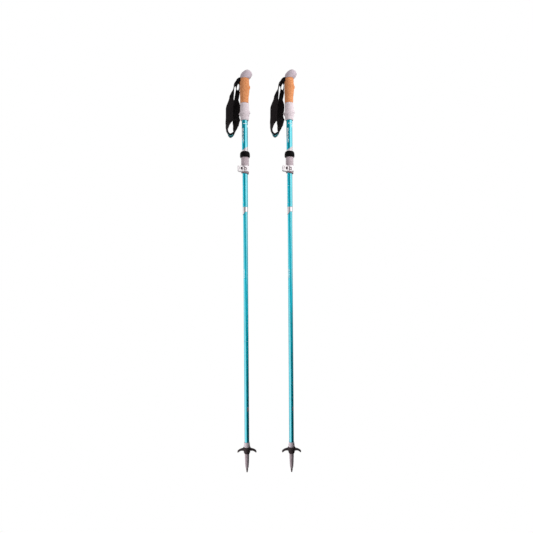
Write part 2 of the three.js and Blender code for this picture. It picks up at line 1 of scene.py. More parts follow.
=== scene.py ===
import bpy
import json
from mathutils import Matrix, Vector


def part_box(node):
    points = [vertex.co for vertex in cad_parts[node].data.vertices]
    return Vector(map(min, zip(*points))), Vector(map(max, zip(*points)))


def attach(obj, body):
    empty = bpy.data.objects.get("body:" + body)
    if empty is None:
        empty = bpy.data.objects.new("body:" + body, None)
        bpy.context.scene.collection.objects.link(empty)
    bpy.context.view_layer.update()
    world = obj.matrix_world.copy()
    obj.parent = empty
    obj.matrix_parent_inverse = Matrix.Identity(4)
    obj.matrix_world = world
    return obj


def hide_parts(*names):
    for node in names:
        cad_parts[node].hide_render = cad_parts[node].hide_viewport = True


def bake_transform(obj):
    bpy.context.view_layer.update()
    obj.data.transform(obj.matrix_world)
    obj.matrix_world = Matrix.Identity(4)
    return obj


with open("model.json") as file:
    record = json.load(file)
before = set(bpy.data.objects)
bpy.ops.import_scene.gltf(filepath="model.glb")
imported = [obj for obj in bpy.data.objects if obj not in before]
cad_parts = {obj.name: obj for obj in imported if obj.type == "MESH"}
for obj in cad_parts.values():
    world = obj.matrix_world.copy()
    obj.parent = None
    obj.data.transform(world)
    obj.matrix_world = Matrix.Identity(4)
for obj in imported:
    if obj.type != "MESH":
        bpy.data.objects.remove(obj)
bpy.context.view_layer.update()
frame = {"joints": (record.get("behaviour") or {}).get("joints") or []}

import json
import math
import random

import bmesh
import bpy
from mathutils import Matrix, Vector

# A pair of trekking poles. Shapes are given in millimetres about each pole's own axis and
# turned into metres in the shared frame when a mesh is made.

MM = 0.001
JOINTS = {joint["name"]: joint for joint in frame["joints"]}
SIDES = ("left", "right")
ROUND = 72  # points round a turned piece


# ---------------------------------------------------------------- CAD measures, in mm

def cad(node):
    """Lowest and highest corner of a left-hand CAD node, in mm about the left pole's axis."""
    low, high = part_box("left_" + node)
    return low / MM, high / MM


def low_z(node):
    return cad(node)[0].z


def high_z(node):
    return cad(node)[1].z


def span(node):
    return low_z(node), high_z(node)


def radius_of(node):
    low, high = cad(node)
    return (high.y - low.y) / 2


def axis_x(side):
    low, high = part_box(side + "_middle_tube")
    return (low.x + high.x) / 2 / MM


def joint_point(name):
    return Vector(JOINTS["left_" + name]["pos_m"]) / MM


UPPER_R = radius_of("upper_tube")
MIDDLE_R = radius_of("middle_tube")
LOWER_R = radius_of("lower_tube")
WALL = 0.65
UPPER_BORE = UPPER_R + 0.3  # bores of the pieces that go round these tubes
MIDDLE_BORE = MIDDLE_R + 0.3
BOOT_TOP = high_z("clamp_boot")
BOOT_LOW = low_z("clamp_boot")
GRIP_LOW = low_z("lower_grip")
CORK_LOW = low_z("cork_grip")
HEAD_LOW = high_z("cork_grip")
HEAD_TOP = high_z("head_cap")
CLAMP_LOW = low_z("clamp_band")
CLAMP_HIGH = high_z("clamp_band")
CLAMP_MID = (CLAMP_LOW + CLAMP_HIGH) / 2
FERRULE_STEP = low_z("middle_tube")
UPPER_JOINT = high_z("lower_tube")
LOWER_JOINT = high_z("bottom_tube")
COLLAR_LOW = high_z("basket") + 0.3
PIVOT = joint_point("strap_swing")
PIN_X = -5  # the strap's cross pin, at the pivot's height
BARREL = joint_point("lever_open")


# ---------------------------------------------------------------- materials

# Brightness of the studio's panels round the horizon, as (degrees from the camera's side towards +X, level),
# for reflections that look up, level and down
HIGH_BAND = ((-180, 0.5), (-112, 1.8), (-84, 1.4), (-66, 0.6), (-50, 0.3), (-5, 0.2), (6, 0.9), (18, 2.1),
             (36, 3.4), (72, 3.5), (94, 1.7), (180, 0.4))
MIDDLE_BAND = ((-180, 0.5), (-115, 2.0), (-80, 2.7), (-58, 1.9), (-42, 1.4), (-25, 1.1), (-8, 0.95), (6, 1.0),
               (20, 1.3), (40, 2.0), (70, 2.3), (100, 1.2), (180, 0.4))
LOW_BAND = ((-180, 0.3), (-112, 1.6), (-70, 2.7), (-28, 2.7), (-8, 1.3), (6, 0.2), (22, 0.03), (80, 0.03),
            (115, 0.12), (180, 0.3))
BAND_PEAK = 3.5
HIGH_FADE = (0.03, 0.2)  # how far up a reflection looks where the middle band gives way to the high one
LOW_FADE = (-0.02, -0.17)
PAINTED_REFLECTION_FROM, PAINTED_REFLECTION_FULL = 1.5, 2.4  # panel levels between which the painted reflection fades in over the teal
# Level of the soft light that matt pieces receive, from below and from above
SOFT_LOW = 0.2
SOFT_HIGH = 0.8


def srgb(red, green, blue):
    """Linear colour from 0-255 display values."""
    def channel(value):
        value /= 255
        return value / 12.92 if value <= 0.04045 else ((value + 0.055) / 1.055) ** 2.4
    return (channel(red), channel(green), channel(blue), 1.0)


def scaled(colour, factor, lift=0.0):
    return [min(1, c * factor + lift) for c in colour[:3]] + [1]


def grey_tone(level):
    return (level, level, level, 1)


class Nodes:
    """A node material under construction."""

    def __init__(self, name):
        self.material = bpy.data.materials.new(name)
        self.material.use_nodes = True
        self.tree = self.material.node_tree
        self.shader = self.tree.nodes["Principled BSDF"]
        self.coordinates = self.node("TexCoord").outputs

    def feed(self, socket, value):
        """Links the socket to another node's output, or sets its value."""
        if isinstance(value, bpy.types.NodeSocket):
            self.tree.links.new(value, socket)
        else:
            socket.default_value = value

    def node(self, kind, **sockets):
        node = self.tree.nodes.new("ShaderNode" + kind)
        for name, value in sockets.items():
            self.feed(node.inputs[name.replace("_", " ")], value)
        return node

    def set(self, **sockets):
        for name, value in sockets.items():
            self.feed(self.shader.inputs[name.replace("_", " ")], value)

    def place(self, scale=(1, 1, 1), turn=(0, 0, 0)):
        """Object coordinates in mm, stretched by scale."""
        return self.node("Mapping", Vector=self.coordinates["Object"], Rotation=turn,
                         Scale=[s / MM for s in scale]).outputs["Vector"]

    def along_strap(self, turn=0.0):
        """The strap's own coordinates in mm: across and along."""
        uv = self.node("UVMap")
        uv.uv_map = "band"
        return self.node("Mapping", Vector=uv.outputs["UV"], Rotation=(0, 0, turn)).outputs["Vector"]

    def noise(self, vector, scale, detail=3, roughness=0.5, output="Fac"):
        node = self.node("TexNoise", Vector=vector, Scale=scale, Detail=detail, Roughness=roughness)
        return node.outputs[output]

    def cells(self, vector, scale, feature="F1", output="Distance"):
        node = self.node("TexVoronoi", Vector=vector, Scale=scale)
        node.feature = feature
        return node.outputs[output]

    def wave(self, vector, scale, direction):
        node = self.node("TexWave", Vector=vector, Scale=scale)
        node.bands_direction = direction
        return node.outputs["Fac"]

    def ramp(self, source, *stops):
        node = self.node("ValToRGB", Fac=source)
        ramp = node.color_ramp
        while len(ramp.elements) < len(stops):
            ramp.elements.new(0.5)
        for element, (position, colour) in zip(ramp.elements, stops):
            element.position = position
            element.color = colour
        return node.outputs["Color"]

    def grey(self, source, low, high, dark, light):
        """Maps source from low..high to dark..light."""
        node = self.node("MapRange", Value=source, From_Min=low, From_Max=high, To_Min=dark, To_Max=light)
        return node.outputs["Result"]

    def math(self, operation, first, second):
        node = self.node("Math")
        node.operation = operation
        self.feed(node.inputs[0], first)
        self.feed(node.inputs[1], second)
        return node.outputs[0]

    def mix(self, factor, first, second, blend="MIX"):
        node = self.node("Mix")
        node.data_type = "RGBA"
        node.blend_type = blend
        for index, value in ((0, factor), (6, first), (7, second)):
            self.feed(node.inputs[index], value)
        return node.outputs[2]

    def bump(self, height, strength, distance_mm):
        node = self.node("Bump", Height=height, Strength=strength, Distance=distance_mm * MM)
        self.set(Normal=node.outputs["Normal"])

    def panels(self, direction):
        """Brightness of the studio's panels seen along a direction, as a share of BAND_PEAK."""
        x, y, up = self.node("SeparateXYZ", Vector=direction).outputs
        angle = self.math("ARCTAN2", x, self.math("MULTIPLY", y, -1))
        share = self.grey(angle, -math.pi, math.pi, 0, 1)
        high, middle, low = (
            self.ramp(share, *[((turn + 180) / 360, grey_tone(level / BAND_PEAK)) for turn, level in band])
            for band in (HIGH_BAND, MIDDLE_BAND, LOW_BAND)
        )
        upper = self.mix(self.grey(up, *HIGH_FADE, 0, 1), middle, high)
        return self.mix(self.grey(up, *LOW_FADE, 0, 1), upper, low)


def anodised(name, colour, roughness, coat=0.0, painted_reflection=None):
    """Drawn aluminium tube: fine lines along the shaft, a faint drift in the dye, a clear seal.

    painted_reflection is a paler tint painted into the base colour where the reflection meets a bright panel:
    a painted reflection."""
    m = Nodes(name)
    lines = m.noise(m.place((2.2, 2.2, 0.012)), 1.6, 4, 0.7)
    drift = m.noise(m.place((0.02, 0.02, 0.01)), 1.0, 2)
    deep = scaled(colour, 0.9)
    tone = m.mix(m.grey(drift, 0.35, 0.65, 0, 1), deep, scaled(colour, 1.08))
    tone = m.mix(m.grey(lines, 0.3, 0.7, 0.0, 0.2), tone, deep)
    # Painted reflection: the base colour turns paler where the reflected view meets a bright studio panel
    if painted_reflection:
        seen = m.panels(m.coordinates["Reflection"])
        painted_reflection_mask = m.grey(seen, PAINTED_REFLECTION_FROM / BAND_PEAK, PAINTED_REFLECTION_FULL / BAND_PEAK, 0, 1)
        tone = m.mix(painted_reflection_mask, tone, painted_reflection)
    m.set(Base_Color=tone, Roughness=m.grey(lines, 0.3, 0.7, roughness * 0.9, roughness * 1.12),
          Metallic=1.0, Coat_Weight=coat, Coat_Roughness=0.04, Coat_IOR=1.56)
    m.bump(lines, 0.03, 0.02)
    return m.material


def bare_metal(name, colour, roughness=0.3, stretch=(0.05, 0.05, 2.0)):
    """Turned or drawn metal with fine tool lines and small rubbed patches."""
    m = Nodes(name)
    lines = m.noise(m.place(stretch), 3.0, 4, 0.6)
    rub = m.noise(m.place((0.15, 0.15, 0.15)), 1.0, 3)
    m.set(Base_Color=m.mix(m.grey(rub, 0.4, 0.65, 0.0, 0.6), colour, scaled(colour, 0.8)),
          Roughness=m.grey(lines, 0.3, 0.7, roughness * 0.75, roughness * 1.35), Metallic=1.0)
    m.bump(lines, 0.12, 0.03)
    return m.material


def moulded(name, colour, roughness, grain_mm, grain_depth, mottle, specular=0.5):
    """Moulded plastic or rubber with a spark-eroded grain, slight mottling and polished high spots."""
    m = Nodes(name)
    grain = m.noise(m.place(), 1 / grain_mm, 3, 0.6)
    blotch = m.noise(m.place((0.12, 0.12, 0.12)), 1.0, 3)
    dark = scaled(colour, 1 - 1.6 * mottle)
    tone = m.mix(m.grey(blotch, 0.3, 0.7, 0, 1), dark, scaled(colour, 1 + mottle))
    m.set(Base_Color=m.mix(m.grey(grain, 0.4, 0.7, 0, 0.25), tone, dark), Specular_IOR_Level=specular,
          Roughness=m.grey(blotch, 0.35, 0.65, roughness * 0.85, min(1, roughness * 1.12)))
    m.bump(grain, 0.35, grain_depth)
    return m.material


def cork_material():
    """Composition cork: packed granules of several tans, dark bark specks and small open pits."""
    m = Nodes("cork")
    place = m.place()
    warped = m.mix(0.35, place, m.noise(place, 0.6, 3, output="Color"), "LINEAR_LIGHT")
    granule = m.cells(warped, 0.62, output="Color")
    seam = m.cells(warped, 0.62, "DISTANCE_TO_EDGE")
    tone = m.ramp(
        granule,
        (0.0, srgb(186, 114, 70)),
        (0.35, srgb(209, 137, 90)),
        (0.6, srgb(222, 150, 102)),
        (1.0, srgb(236, 172, 125)),
    )
    wash = m.noise(m.place((0.05, 0.05, 0.05)), 1.0, 3)
    tone = m.mix(m.grey(wash, 0.3, 0.7, 0.0, 0.35), tone, srgb(200, 129, 83))
    tone = m.mix(m.grey(seam, 0.0, 0.10, 0.45, 0.0), tone, srgb(150, 88, 52))
    speck = m.cells(place, 0.36)
    tone = m.mix(m.grey(speck, 0.10, 0.17, 0.85, 0.0), tone, srgb(96, 52, 32))
    m.set(Base_Color=tone, Roughness=m.grey(granule, 0, 1, 0.78, 0.92), Specular_IOR_Level=0.1)
    pits = m.math("MINIMUM", m.grey(speck, 0.08, 0.2, 0.0, 1.0), m.grey(seam, 0.0, 0.12, 0.55, 1.0))
    fine = m.noise(place, 2.2, 3)
    m.bump(m.math("ADD", pits, m.math("MULTIPLY", fine, 0.4)), 0.5, 0.16)
    return m.material


def woven(name, colour, light, rib_mm=0.5, thread_mm=0.5, twill=0.0, depth=0.06):
    """Woven tape on the strap's own coordinates: weft ribs crossed by warp threads."""
    m = Nodes(name)
    place = m.along_strap(twill)
    ribs = m.wave(place, math.pi * 2 / (20 * rib_mm), "Y")
    warp = m.wave(place, math.pi * 2 / (20 * thread_mm), "X")
    weave = m.math("MULTIPLY", ribs, m.grey(warp, 0, 1, 0.45, 1.0))
    lint = m.noise(m.place(), 0.5, 4, 0.65)
    tone = m.mix(m.grey(weave, 0.1, 0.9, 0.0, 0.8), colour, light)
    m.set(Base_Color=m.mix(m.grey(lint, 0.45, 0.75, 0.0, 0.35), tone, scaled(light, 1.5, 0.002)),
          Roughness=m.grey(weave, 0, 1, 0.95, 0.8), Specular_IOR_Level=0.06)
    m.bump(weave, 0.6, depth)
    return m.material


def braided(name, colour, fleck):
    """Round braided cord: two crossing spirals of thread with a pale fleck."""
    m = Nodes(name)
    left = m.wave(m.place(turn=(0.6, 0.6, 0)), 1.1, "Z")
    right = m.wave(m.place(turn=(-0.6, -0.6, 0)), 1.1, "Z")
    braid = m.math("MULTIPLY", left, right)
    flecks = m.cells(m.place(), 0.45)
    m.set(Base_Color=m.mix(m.grey(flecks, 0.1, 0.25, 0.9, 0.0), colour, fleck),
          Roughness=m.grey(braid, 0, 1, 0.9, 0.7))
    m.bump(braid, 0.7, 0.25)
    return m.material


SILVER = (0.46, 0.43, 0.445, 1)
MATERIALS = {
    # The teal's last colour is its painted reflection, the paler tint where bright panels are reflected
    "teal": anodised("teal", (0.0, 0.345, 0.445, 1), 0.31, 0.3, (0.085, 0.305, 0.345, 1)),
    "silver": anodised("silver", SILVER, 0.55),
    "ferrule": bare_metal("ferrule", SILVER, 0.14),
    "spigot": bare_metal("spigot", srgb(190, 190, 192), 0.35, (2.0, 2.0, 0.05)),
    "steel": bare_metal("steel", srgb(150, 148, 150), 0.32),
    "dark_steel": bare_metal("dark_steel", srgb(78, 68, 70), 0.42),
    "cork": cork_material(),
    "webbing": woven("webbing", srgb(7, 6, 7), srgb(22, 19, 21), 0.9, 0.6, 0.0, 0.18),
    "lining": woven("lining", srgb(14, 12, 13), srgb(42, 36, 38), 1.1, 1.1, 0.785, 0.12),
    "label": woven("label", srgb(12, 10, 12), srgb(34, 30, 33)),
    "label_line": woven("label_line", srgb(62, 160, 172), srgb(120, 205, 214)),
    "cord": braided("cord", srgb(26, 25, 27), srgb(210, 210, 205)),
}
# Name: colour, roughness, grain in mm, grain depth, mottle, and the specular level if not a half
for key, colour, *finish in (
    ("white", (229, 223, 226), 0.38, 0.5, 0.012, 0.03, 0.3),
    # lever_white: the band's white coating painted lighter on the lever, as painted light
    ("lever_white", (245, 239, 241), 0.38, 0.5, 0.012, 0.03, 0.3),
    ("shade", (126, 108, 112), 0.7, 0.5, 0.02, 0.1, 0.1),
    ("head", (184, 170, 178), 0.62, 0.3, 0.03, 0.07, 0.12),
    ("grip", (208, 195, 200), 0.68, 0.3, 0.03, 0.05, 0.12),
    ("sleeve", (175, 160, 166), 0.48, 0.4, 0.02, 0.06, 0.15),
    ("tip", (160, 145, 151), 0.5, 0.4, 0.025, 0.08, 0.2),
    ("collar", (200, 187, 194), 0.5, 0.4, 0.02, 0.06, 0.2),
    ("boot", (9, 8, 9), 0.55, 0.35, 0.02, 0.15, 0.04),
    ("dark", (60, 51, 53), 0.6, 0.35, 0.03, 0.14, 0.04),
    # wiper: the foot ring's dark grey is painted shade under the clamp, on a real ring
    ("wiper", (128, 110, 114), 0.6, 0.35, 0.02, 0.1, 0.15),
    ("ink", (222, 226, 228), 0.5, 0.3, 0.004, 0.04),
    ("coral", (226, 120, 104), 0.5, 0.3, 0.004, 0.04),
):
    MATERIALS[key] = moulded(key, srgb(*colour), *finish)

# The record's finish for each main material
FINISHES = {
    "teal_anodised": ["teal"],
    "bare_aluminium": ["ferrule", "spigot"],
    "steel": ["steel"],
    "dark_steel": ["dark_steel"],
    "white_coated": ["white", "lever_white", "ink", "coral"],
    "grey_rubber": ["head", "grip"],
    "grey_plastic": ["sleeve", "tip"],
    "black_rubber": ["boot"],
    "dark_plastic": ["dark", "wiper"],
    "cork": ["cork"],
    "black_webbing": ["webbing", "lining"],
    "label_weave": ["label", "label_line"],
    "cord_braid": ["cord"],
}
FINISH_OF = {material: finish for finish, materials in FINISHES.items() for material in materials}


# ---------------------------------------------------------------- mesh helpers

class Pole:
    """Where one pole stands, and how its pieces are named and carried."""

    def __init__(self, side):
        self.side = side
        self.shift = Vector((axis_x(side), 0, 0))

    def add(self, name, shape, body, materials, node=None, picks=None, uvs=None, sharp=35, finish=None):
        """One closed mesh from (vertices, faces), which stands for a CAD node if one is named.
        picks gives a material index per face, uvs a pair per face corner."""
        vertices, faces = shape
        materials = [materials] if isinstance(materials, str) else materials
        mesh = bpy.data.meshes.new(f"{self.side}_{name}")
        mesh.from_pydata([(Vector(v) + self.shift) * MM for v in vertices], [], faces)
        for key in materials:
            mesh.materials.append(MATERIALS[key])
        if picks is not None:
            mesh.polygons.foreach_set("material_index", picks)
        if uvs is not None:
            mesh.uv_layers.new(name="band").data.foreach_set("uv", [c for uv in uvs for c in uv])
        orient(mesh)
        self.finish(link(mesh.name, mesh), body, node, finish or FINISH_OF[materials[0]], sharp)

    def finish(self, piece, body, node, finish, sharp=35):
        """Smooths the piece and hangs it on its body. A piece with no body stays where it is in the frame."""
        piece.data.shade_smooth()
        piece.data.set_sharp_from_angle(angle=math.radians(sharp))
        if body:
            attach(piece, f"{self.side}_{body}")
        else:
            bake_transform(piece)
        if node:
            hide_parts(f"{self.side}_{node}")


def link(name, data):
    """A new object in the scene."""
    thing = bpy.data.objects.new(name, data)
    bpy.context.scene.collection.objects.link(thing)
    return thing


def orient(mesh):
    """Turns every face outwards."""
    shape = bmesh.new()
    shape.from_mesh(mesh)
    bmesh.ops.recalc_face_normals(shape, faces=shape.faces)
    if shape.calc_volume(signed=True) < 0:
        bmesh.ops.reverse_faces(shape, faces=shape.faces)
    shape.to_mesh(mesh)
    shape.free()


def rounded(outline, radius=0.4, steps=3, closed=True):
    """The outline with each corner replaced by a small arc. A corner can carry its own radius."""
    points = [Vector(p[:2]) for p in outline]
    radii = [p[2] if len(p) > 2 else radius for p in outline]
    out = []
    count = len(points)
    for i, point in enumerate(points):
        if not closed and i in (0, count - 1) or radii[i] <= 0 or point.x <= 1e-9:
            out.append(tuple(point))
            continue
        before = points[i - 1] - point
        after = points[(i + 1) % count] - point
        turn = before.angle(after)
        if turn > math.pi - 0.05:
            out.append(tuple(point))
            continue
        reach = min(radii[i] / math.tan(turn / 2), before.length * 0.45, after.length * 0.45)
        start = point + before.normalized() * reach
        end = point + after.normalized() * reach
        for k in range(steps + 1):
            t = k / steps
            out.append(tuple(start * (1 - t) ** 2 + point * 2 * t * (1 - t) + end * t ** 2))
    return out


def skin(rings, loop=False):
    """Vertices and faces for rings of equally many points. A ring of one point is a pole."""
    vertices, starts = [], []
    for ring in rings:
        starts.append(len(vertices))
        vertices.extend(ring)
    faces = []
    for i in range(len(rings) if loop else len(rings) - 1):
        j = (i + 1) % len(rings)
        a, b = rings[i], rings[j]
        count = max(len(a), len(b))
        if count == 1:
            continue
        for k in range(count):
            n = (k + 1) % count
            if len(a) == 1:
                faces.append((starts[i], starts[j] + n, starts[j] + k))
            elif len(b) == 1:
                faces.append((starts[i] + k, starts[i] + n, starts[j]))
            else:
                faces.append((starts[i] + k, starts[i] + n, starts[j] + n, starts[j] + k))
    if not loop:
        for index in (0, len(rings) - 1):
            if len(rings[index]) > 2:
                faces.append(tuple(range(starts[index], starts[index] + len(rings[index]))))
    return vertices, faces


def circle(radius, height, count=ROUND):
    """A ring round the pole's axis. height can be a function of (x, y)."""
    if radius <= 1e-9:
        return [(0, 0, height(0, 0) if callable(height) else height)]
    ring = []
    for k in range(count):
        angle = math.tau * k / count
        x, y = radius * math.cos(angle), radius * math.sin(angle)
        ring.append((x, y, height(x, y) if callable(height) else height))
    return ring


def turned(outline, count=ROUND, radius=0.4, steps=3):
    """A turned solid from a closed outline of (radius, height)."""
    on_axis = outline[0][0] <= 1e-9
    corners = rounded(outline, radius, steps, closed=not on_axis)
    return skin([circle(r, z, count) for r, z in corners], loop=not on_axis)


def spline(rows, count):
    """Rows of numbers interpolated smoothly, evenly in row number."""
    out = []
    last = len(rows) - 1
    for i in range(count):
        position = last * i / (count - 1)
        k = min(int(position), last - 1)
        t = position - k
        p = [rows[max(0, min(last, k + d))] for d in (-1, 0, 1, 2)]
        out.append([
            0.5 * (2 * b + (c - a) * t + (2 * a - 5 * b + 4 * c - d) * t ** 2
                   + (3 * b - a - 3 * c + d) * t ** 3)
            for a, b, c, d in zip(*p)
        ])
    return out


def ovals(rows):
    """Level ovals: height, left, right, half depth."""
    rings = []
    for height, left, right, depth in rows:
        centre, half = (left + right) / 2, (right - left) / 2
        turns = [math.tau * k / ROUND for k in range(ROUND)]
        rings.append([(centre + half * math.cos(a), depth * math.sin(a), height) for a in turns])
    return rings


# ---------------------------------------------------------------- solids cut from one another

def raw_solid(vertices, faces):
    mesh = bpy.data.meshes.new("raw")
    mesh.from_pydata([Vector(v) * MM for v in vertices], [], faces)
    orient(mesh)
    return link("raw", mesh)


def block(low, high, turn=0.0, about=(0, 0, 0)):
    """A box, turned about Y at a point."""
    corners = [(x, y, z) for x in (low[0], high[0]) for y in (low[1], high[1]) for z in (low[2], high[2])]
    swing = Matrix.Rotation(turn, 3, "Y")
    placed = [swing @ Vector(c) + Vector(about) for c in corners]
    faces = [(0, 1, 3, 2), (4, 6, 7, 5), (0, 4, 5, 1), (2, 3, 7, 6), (0, 2, 6, 4), (1, 5, 7, 3)]
    return raw_solid(placed, faces)


def pillar(radius, low, high, x=0.0, y=0.0, count=64):
    """A rod along Z."""
    ring = [(x + radius * math.cos(math.tau * k / count), y + radius * math.sin(math.tau * k / count))
            for k in range(count)]
    return raw_solid(*skin([[(a, b, low) for a, b in ring], [(a, b, high) for a, b in ring]]))


def bolt(radius, low, high, x, z, count=48):
    """A rod along Y."""
    turns = [math.tau * k / count for k in range(count)]
    ring = [(x + radius * math.cos(a), z + radius * math.sin(a)) for a in turns]
    return raw_solid(*skin([[(a, low, b) for a, b in ring], [(a, high, b) for a, b in ring]]))


def pipe(outer, inner, low, high, count=96):
    return raw_solid(*skin([circle(inner, low, count), circle(outer, low, count),
                            circle(outer, high, count), circle(inner, high, count)], loop=True))


def wedge(start, end, low, high, reach=40, steps=12):
    """A slice round Z between two angles in degrees."""
    outline = [(0.0, 0.0)]
    for k in range(steps + 1):
        angle = math.radians(start + (end - start) * k / steps)
        outline.append((reach * math.cos(angle), reach * math.sin(angle)))
    return raw_solid(*skin([[(x, y, low) for x, y in outline], [(x, y, high) for x, y in outline]]))


def combine(base, operation, *others):
    """Applies an exact boolean of each other solid to base."""
    for other in others:
        modifier = base.modifiers.new("cut", "BOOLEAN")
        modifier.operation = operation
        modifier.solver = "EXACT"
        modifier.object = other
        apply_modifiers(base)
        bpy.data.objects.remove(other)


def apply_modifiers(piece):
    graph = bpy.context.evaluated_depsgraph_get()
    mesh = bpy.data.meshes.new_from_object(piece.evaluated_get(graph))
    piece.modifiers.clear()
    piece.data = mesh


def soften(piece, width):
    """Rounds the solid's sharp edges."""
    shape = bmesh.new()
    shape.from_mesh(piece.data)
    bmesh.ops.remove_doubles(shape, verts=shape.verts, dist=0.01 * MM)
    bmesh.ops.dissolve_limit(shape, angle_limit=math.radians(0.5), verts=shape.verts, edges=shape.edges)
    shape.to_mesh(piece.data)
    shape.free()
    modifier = piece.modifiers.new("soften", "BEVEL")
    modifier.width = width * MM
    modifier.segments = 2
    modifier.limit_method = "ANGLE"
    modifier.angle_limit = math.radians(35)
    apply_modifiers(piece)


def place_solid(pole, piece, name, body, material, node, second=None, where=None):
    """Moves a cut solid to its pole and names it. where(centre, normal), about the pole's axis in mm,
    picks the faces that take the second material."""
    piece.data.transform(Matrix.Translation(pole.shift * MM))
    piece.name = f"{pole.side}_{name}"
    piece.data.materials.clear()
    piece.data.materials.append(MATERIALS[material])
    if second:
        piece.data.materials.append(MATERIALS[second])
        for face in piece.data.polygons:
            face.material_index = int(where(face.center / MM - pole.shift, face.normal))
    pole.finish(piece, body, node, FINISH_OF[material])


# ---------------------------------------------------------------- shafts

def shaft_tube(pole, section, radius):
    low, high = span(section + "_tube")
    # rings close to the ends keep the shading straight along the tube
    outline = [(radius - WALL, low), (radius, low), (radius, low + 1, 0), (radius, high - 1, 0),
               (radius, high), (radius - WALL, high)]
    pole.add(section + "_shaft", turned(outline, radius=0.25), section, "teal", section + "_tube")


def upper_shaft(pole):
    """The teal dye stops at a slant above the boot and leaves the metal bare below."""
    low, high = span("upper_tube")
    edge = lambda x, y: BOOT_TOP + 10.4 + 0.65 * x + 0.3 * y
    inner = UPPER_R - WALL
    rings = [circle(radius, height) for radius, height in (
        (inner, low), (UPPER_R - 0.2, low), (UPPER_R, low + 0.2), (UPPER_R, low + 1), (UPPER_R, edge),
        (UPPER_R, high - 1), (UPPER_R, high - 0.2), (UPPER_R - 0.2, high), (inner, high))]
    dyed = (4, 5, 6)  # the rows of faces above the slant
    shape = skin(rings, loop=True)
    picks = [0 if i // ROUND in dyed else 1 for i in range(len(shape[1]))]
    pole.add("upper_shaft", shape, "upper", ["teal", "silver"], "upper_tube", picks)


def ferrule(pole):
    """Socket with a lip that ends level on one side and runs down to a point on the other."""
    lip = UPPER_JOINT - 3.7
    slope = math.tan(math.radians(48))
    edge = lambda x, y: lip - slope * max(0.0, 0.5 - x)
    bore = MIDDLE_R - 0.7
    neck = bore - 0.25
    plug_bore = LOWER_R - 0.6
    step = FERRULE_STEP - 0.3
    inner_top = high_z("ferrule")
    rings = [circle(bore, edge), circle(MIDDLE_R - 0.15, edge),
             circle(MIDDLE_R, lambda x, y: edge(x, y) + 0.2),
             circle(MIDDLE_R, step - 0.2), circle(MIDDLE_R - 0.2, step), circle(neck, step),
             circle(neck, inner_top - 0.4), circle(neck - 0.4, inner_top),
             circle(plug_bore, inner_top), circle(plug_bore, UPPER_JOINT + 0.3),
             circle(bore, UPPER_JOINT + 0.3)]
    pole.add("ferrule_socket", skin(rings, loop=True), "middle", "ferrule", "ferrule")


def spigot(pole, name, node, body):
    low, high = span(node)
    radius, bore = radius_of(node), 2.8
    outline = [(bore, low), (radius, low), (radius, high - 3, 1.0), (radius - 1.6, high, 0.8), (bore, high)]
    pole.add(name, turned(outline), body, "spigot", node)


def cord(pole):
    radius = 2.0
    low, high = span("shock_cord")
    outline = [(0, low), (radius, low), (radius, high), (0, high)]
    pole.add("elastic_cord", turned(outline, 32, 0.9), "lower", "cord", "shock_cord")


def guide_bush(pole):
    low, high = span("guide_bush")
    flange = radius_of("guide_bush")
    stem = MIDDLE_R - 1.0
    top = high - 4
    outline = [
        (0, low), (stem, low, 1.0), (stem, low + 6), (stem - 0.7, low + 6.6), (stem - 0.7, low + 8.6),
        (stem, low + 9.2), (stem, top), (flange, top), (flange, high - 1), (0, high),
    ]
    pole.add("guide_plug", turned(outline, radius=0.3), "middle", "dark", "guide_bush")


def shafts(pole):
    upper_shaft(pole)
    for section, radius in (("middle", MIDDLE_R), ("lower", LOWER_R), ("bottom", LOWER_R)):
        shaft_tube(pole, section, radius)
    ferrule(pole)
    guide_bush(pole)
    spigot(pole, "upper_plug", "upper_spigot", "lower")
    spigot(pole, "lower_plug", "lower_spigot", "bottom")
    cord(pole)


# ---------------------------------------------------------------- printed marks

INK_LIFT = 0.05
INK_SINK = 0.08


def print_patch(radius, left, right, low, high, lean=0.0, steps=6):
    """Thin closed curved patch on a tube. left and right are x seen from the front, in mm.
    lean shifts the top edge sideways."""
    angle = lambda x: math.asin(max(-1.0, min(1.0, x / radius))) - math.pi / 2
    rings = []
    for level, shift in ((low, 0.0), (high, lean)):
        a, b = angle(left + shift), angle(right + shift)
        row = [a + (b - a) * k / steps for k in range(steps + 1)]
        for r in (radius + INK_LIFT, radius - INK_SINK):
            rings.append([(r * math.cos(t), r * math.sin(t), level) for t in row])
    outer_low, inner_low, outer_high, inner_high = rings
    return skin(list(zip(outer_low, outer_high, inner_high, inner_low)))


def print_set(pole, name, body, patches, material="ink", finish=None):
    """Several patches in one piece."""
    vertices, faces = [], []
    for part_vertices, part_faces in patches:
        start = len(vertices)
        vertices += part_vertices
        faces += [tuple(i + start for i in face) for face in part_faces]
    pole.add(name, (vertices, faces), body, material, sharp=30, finish=finish)


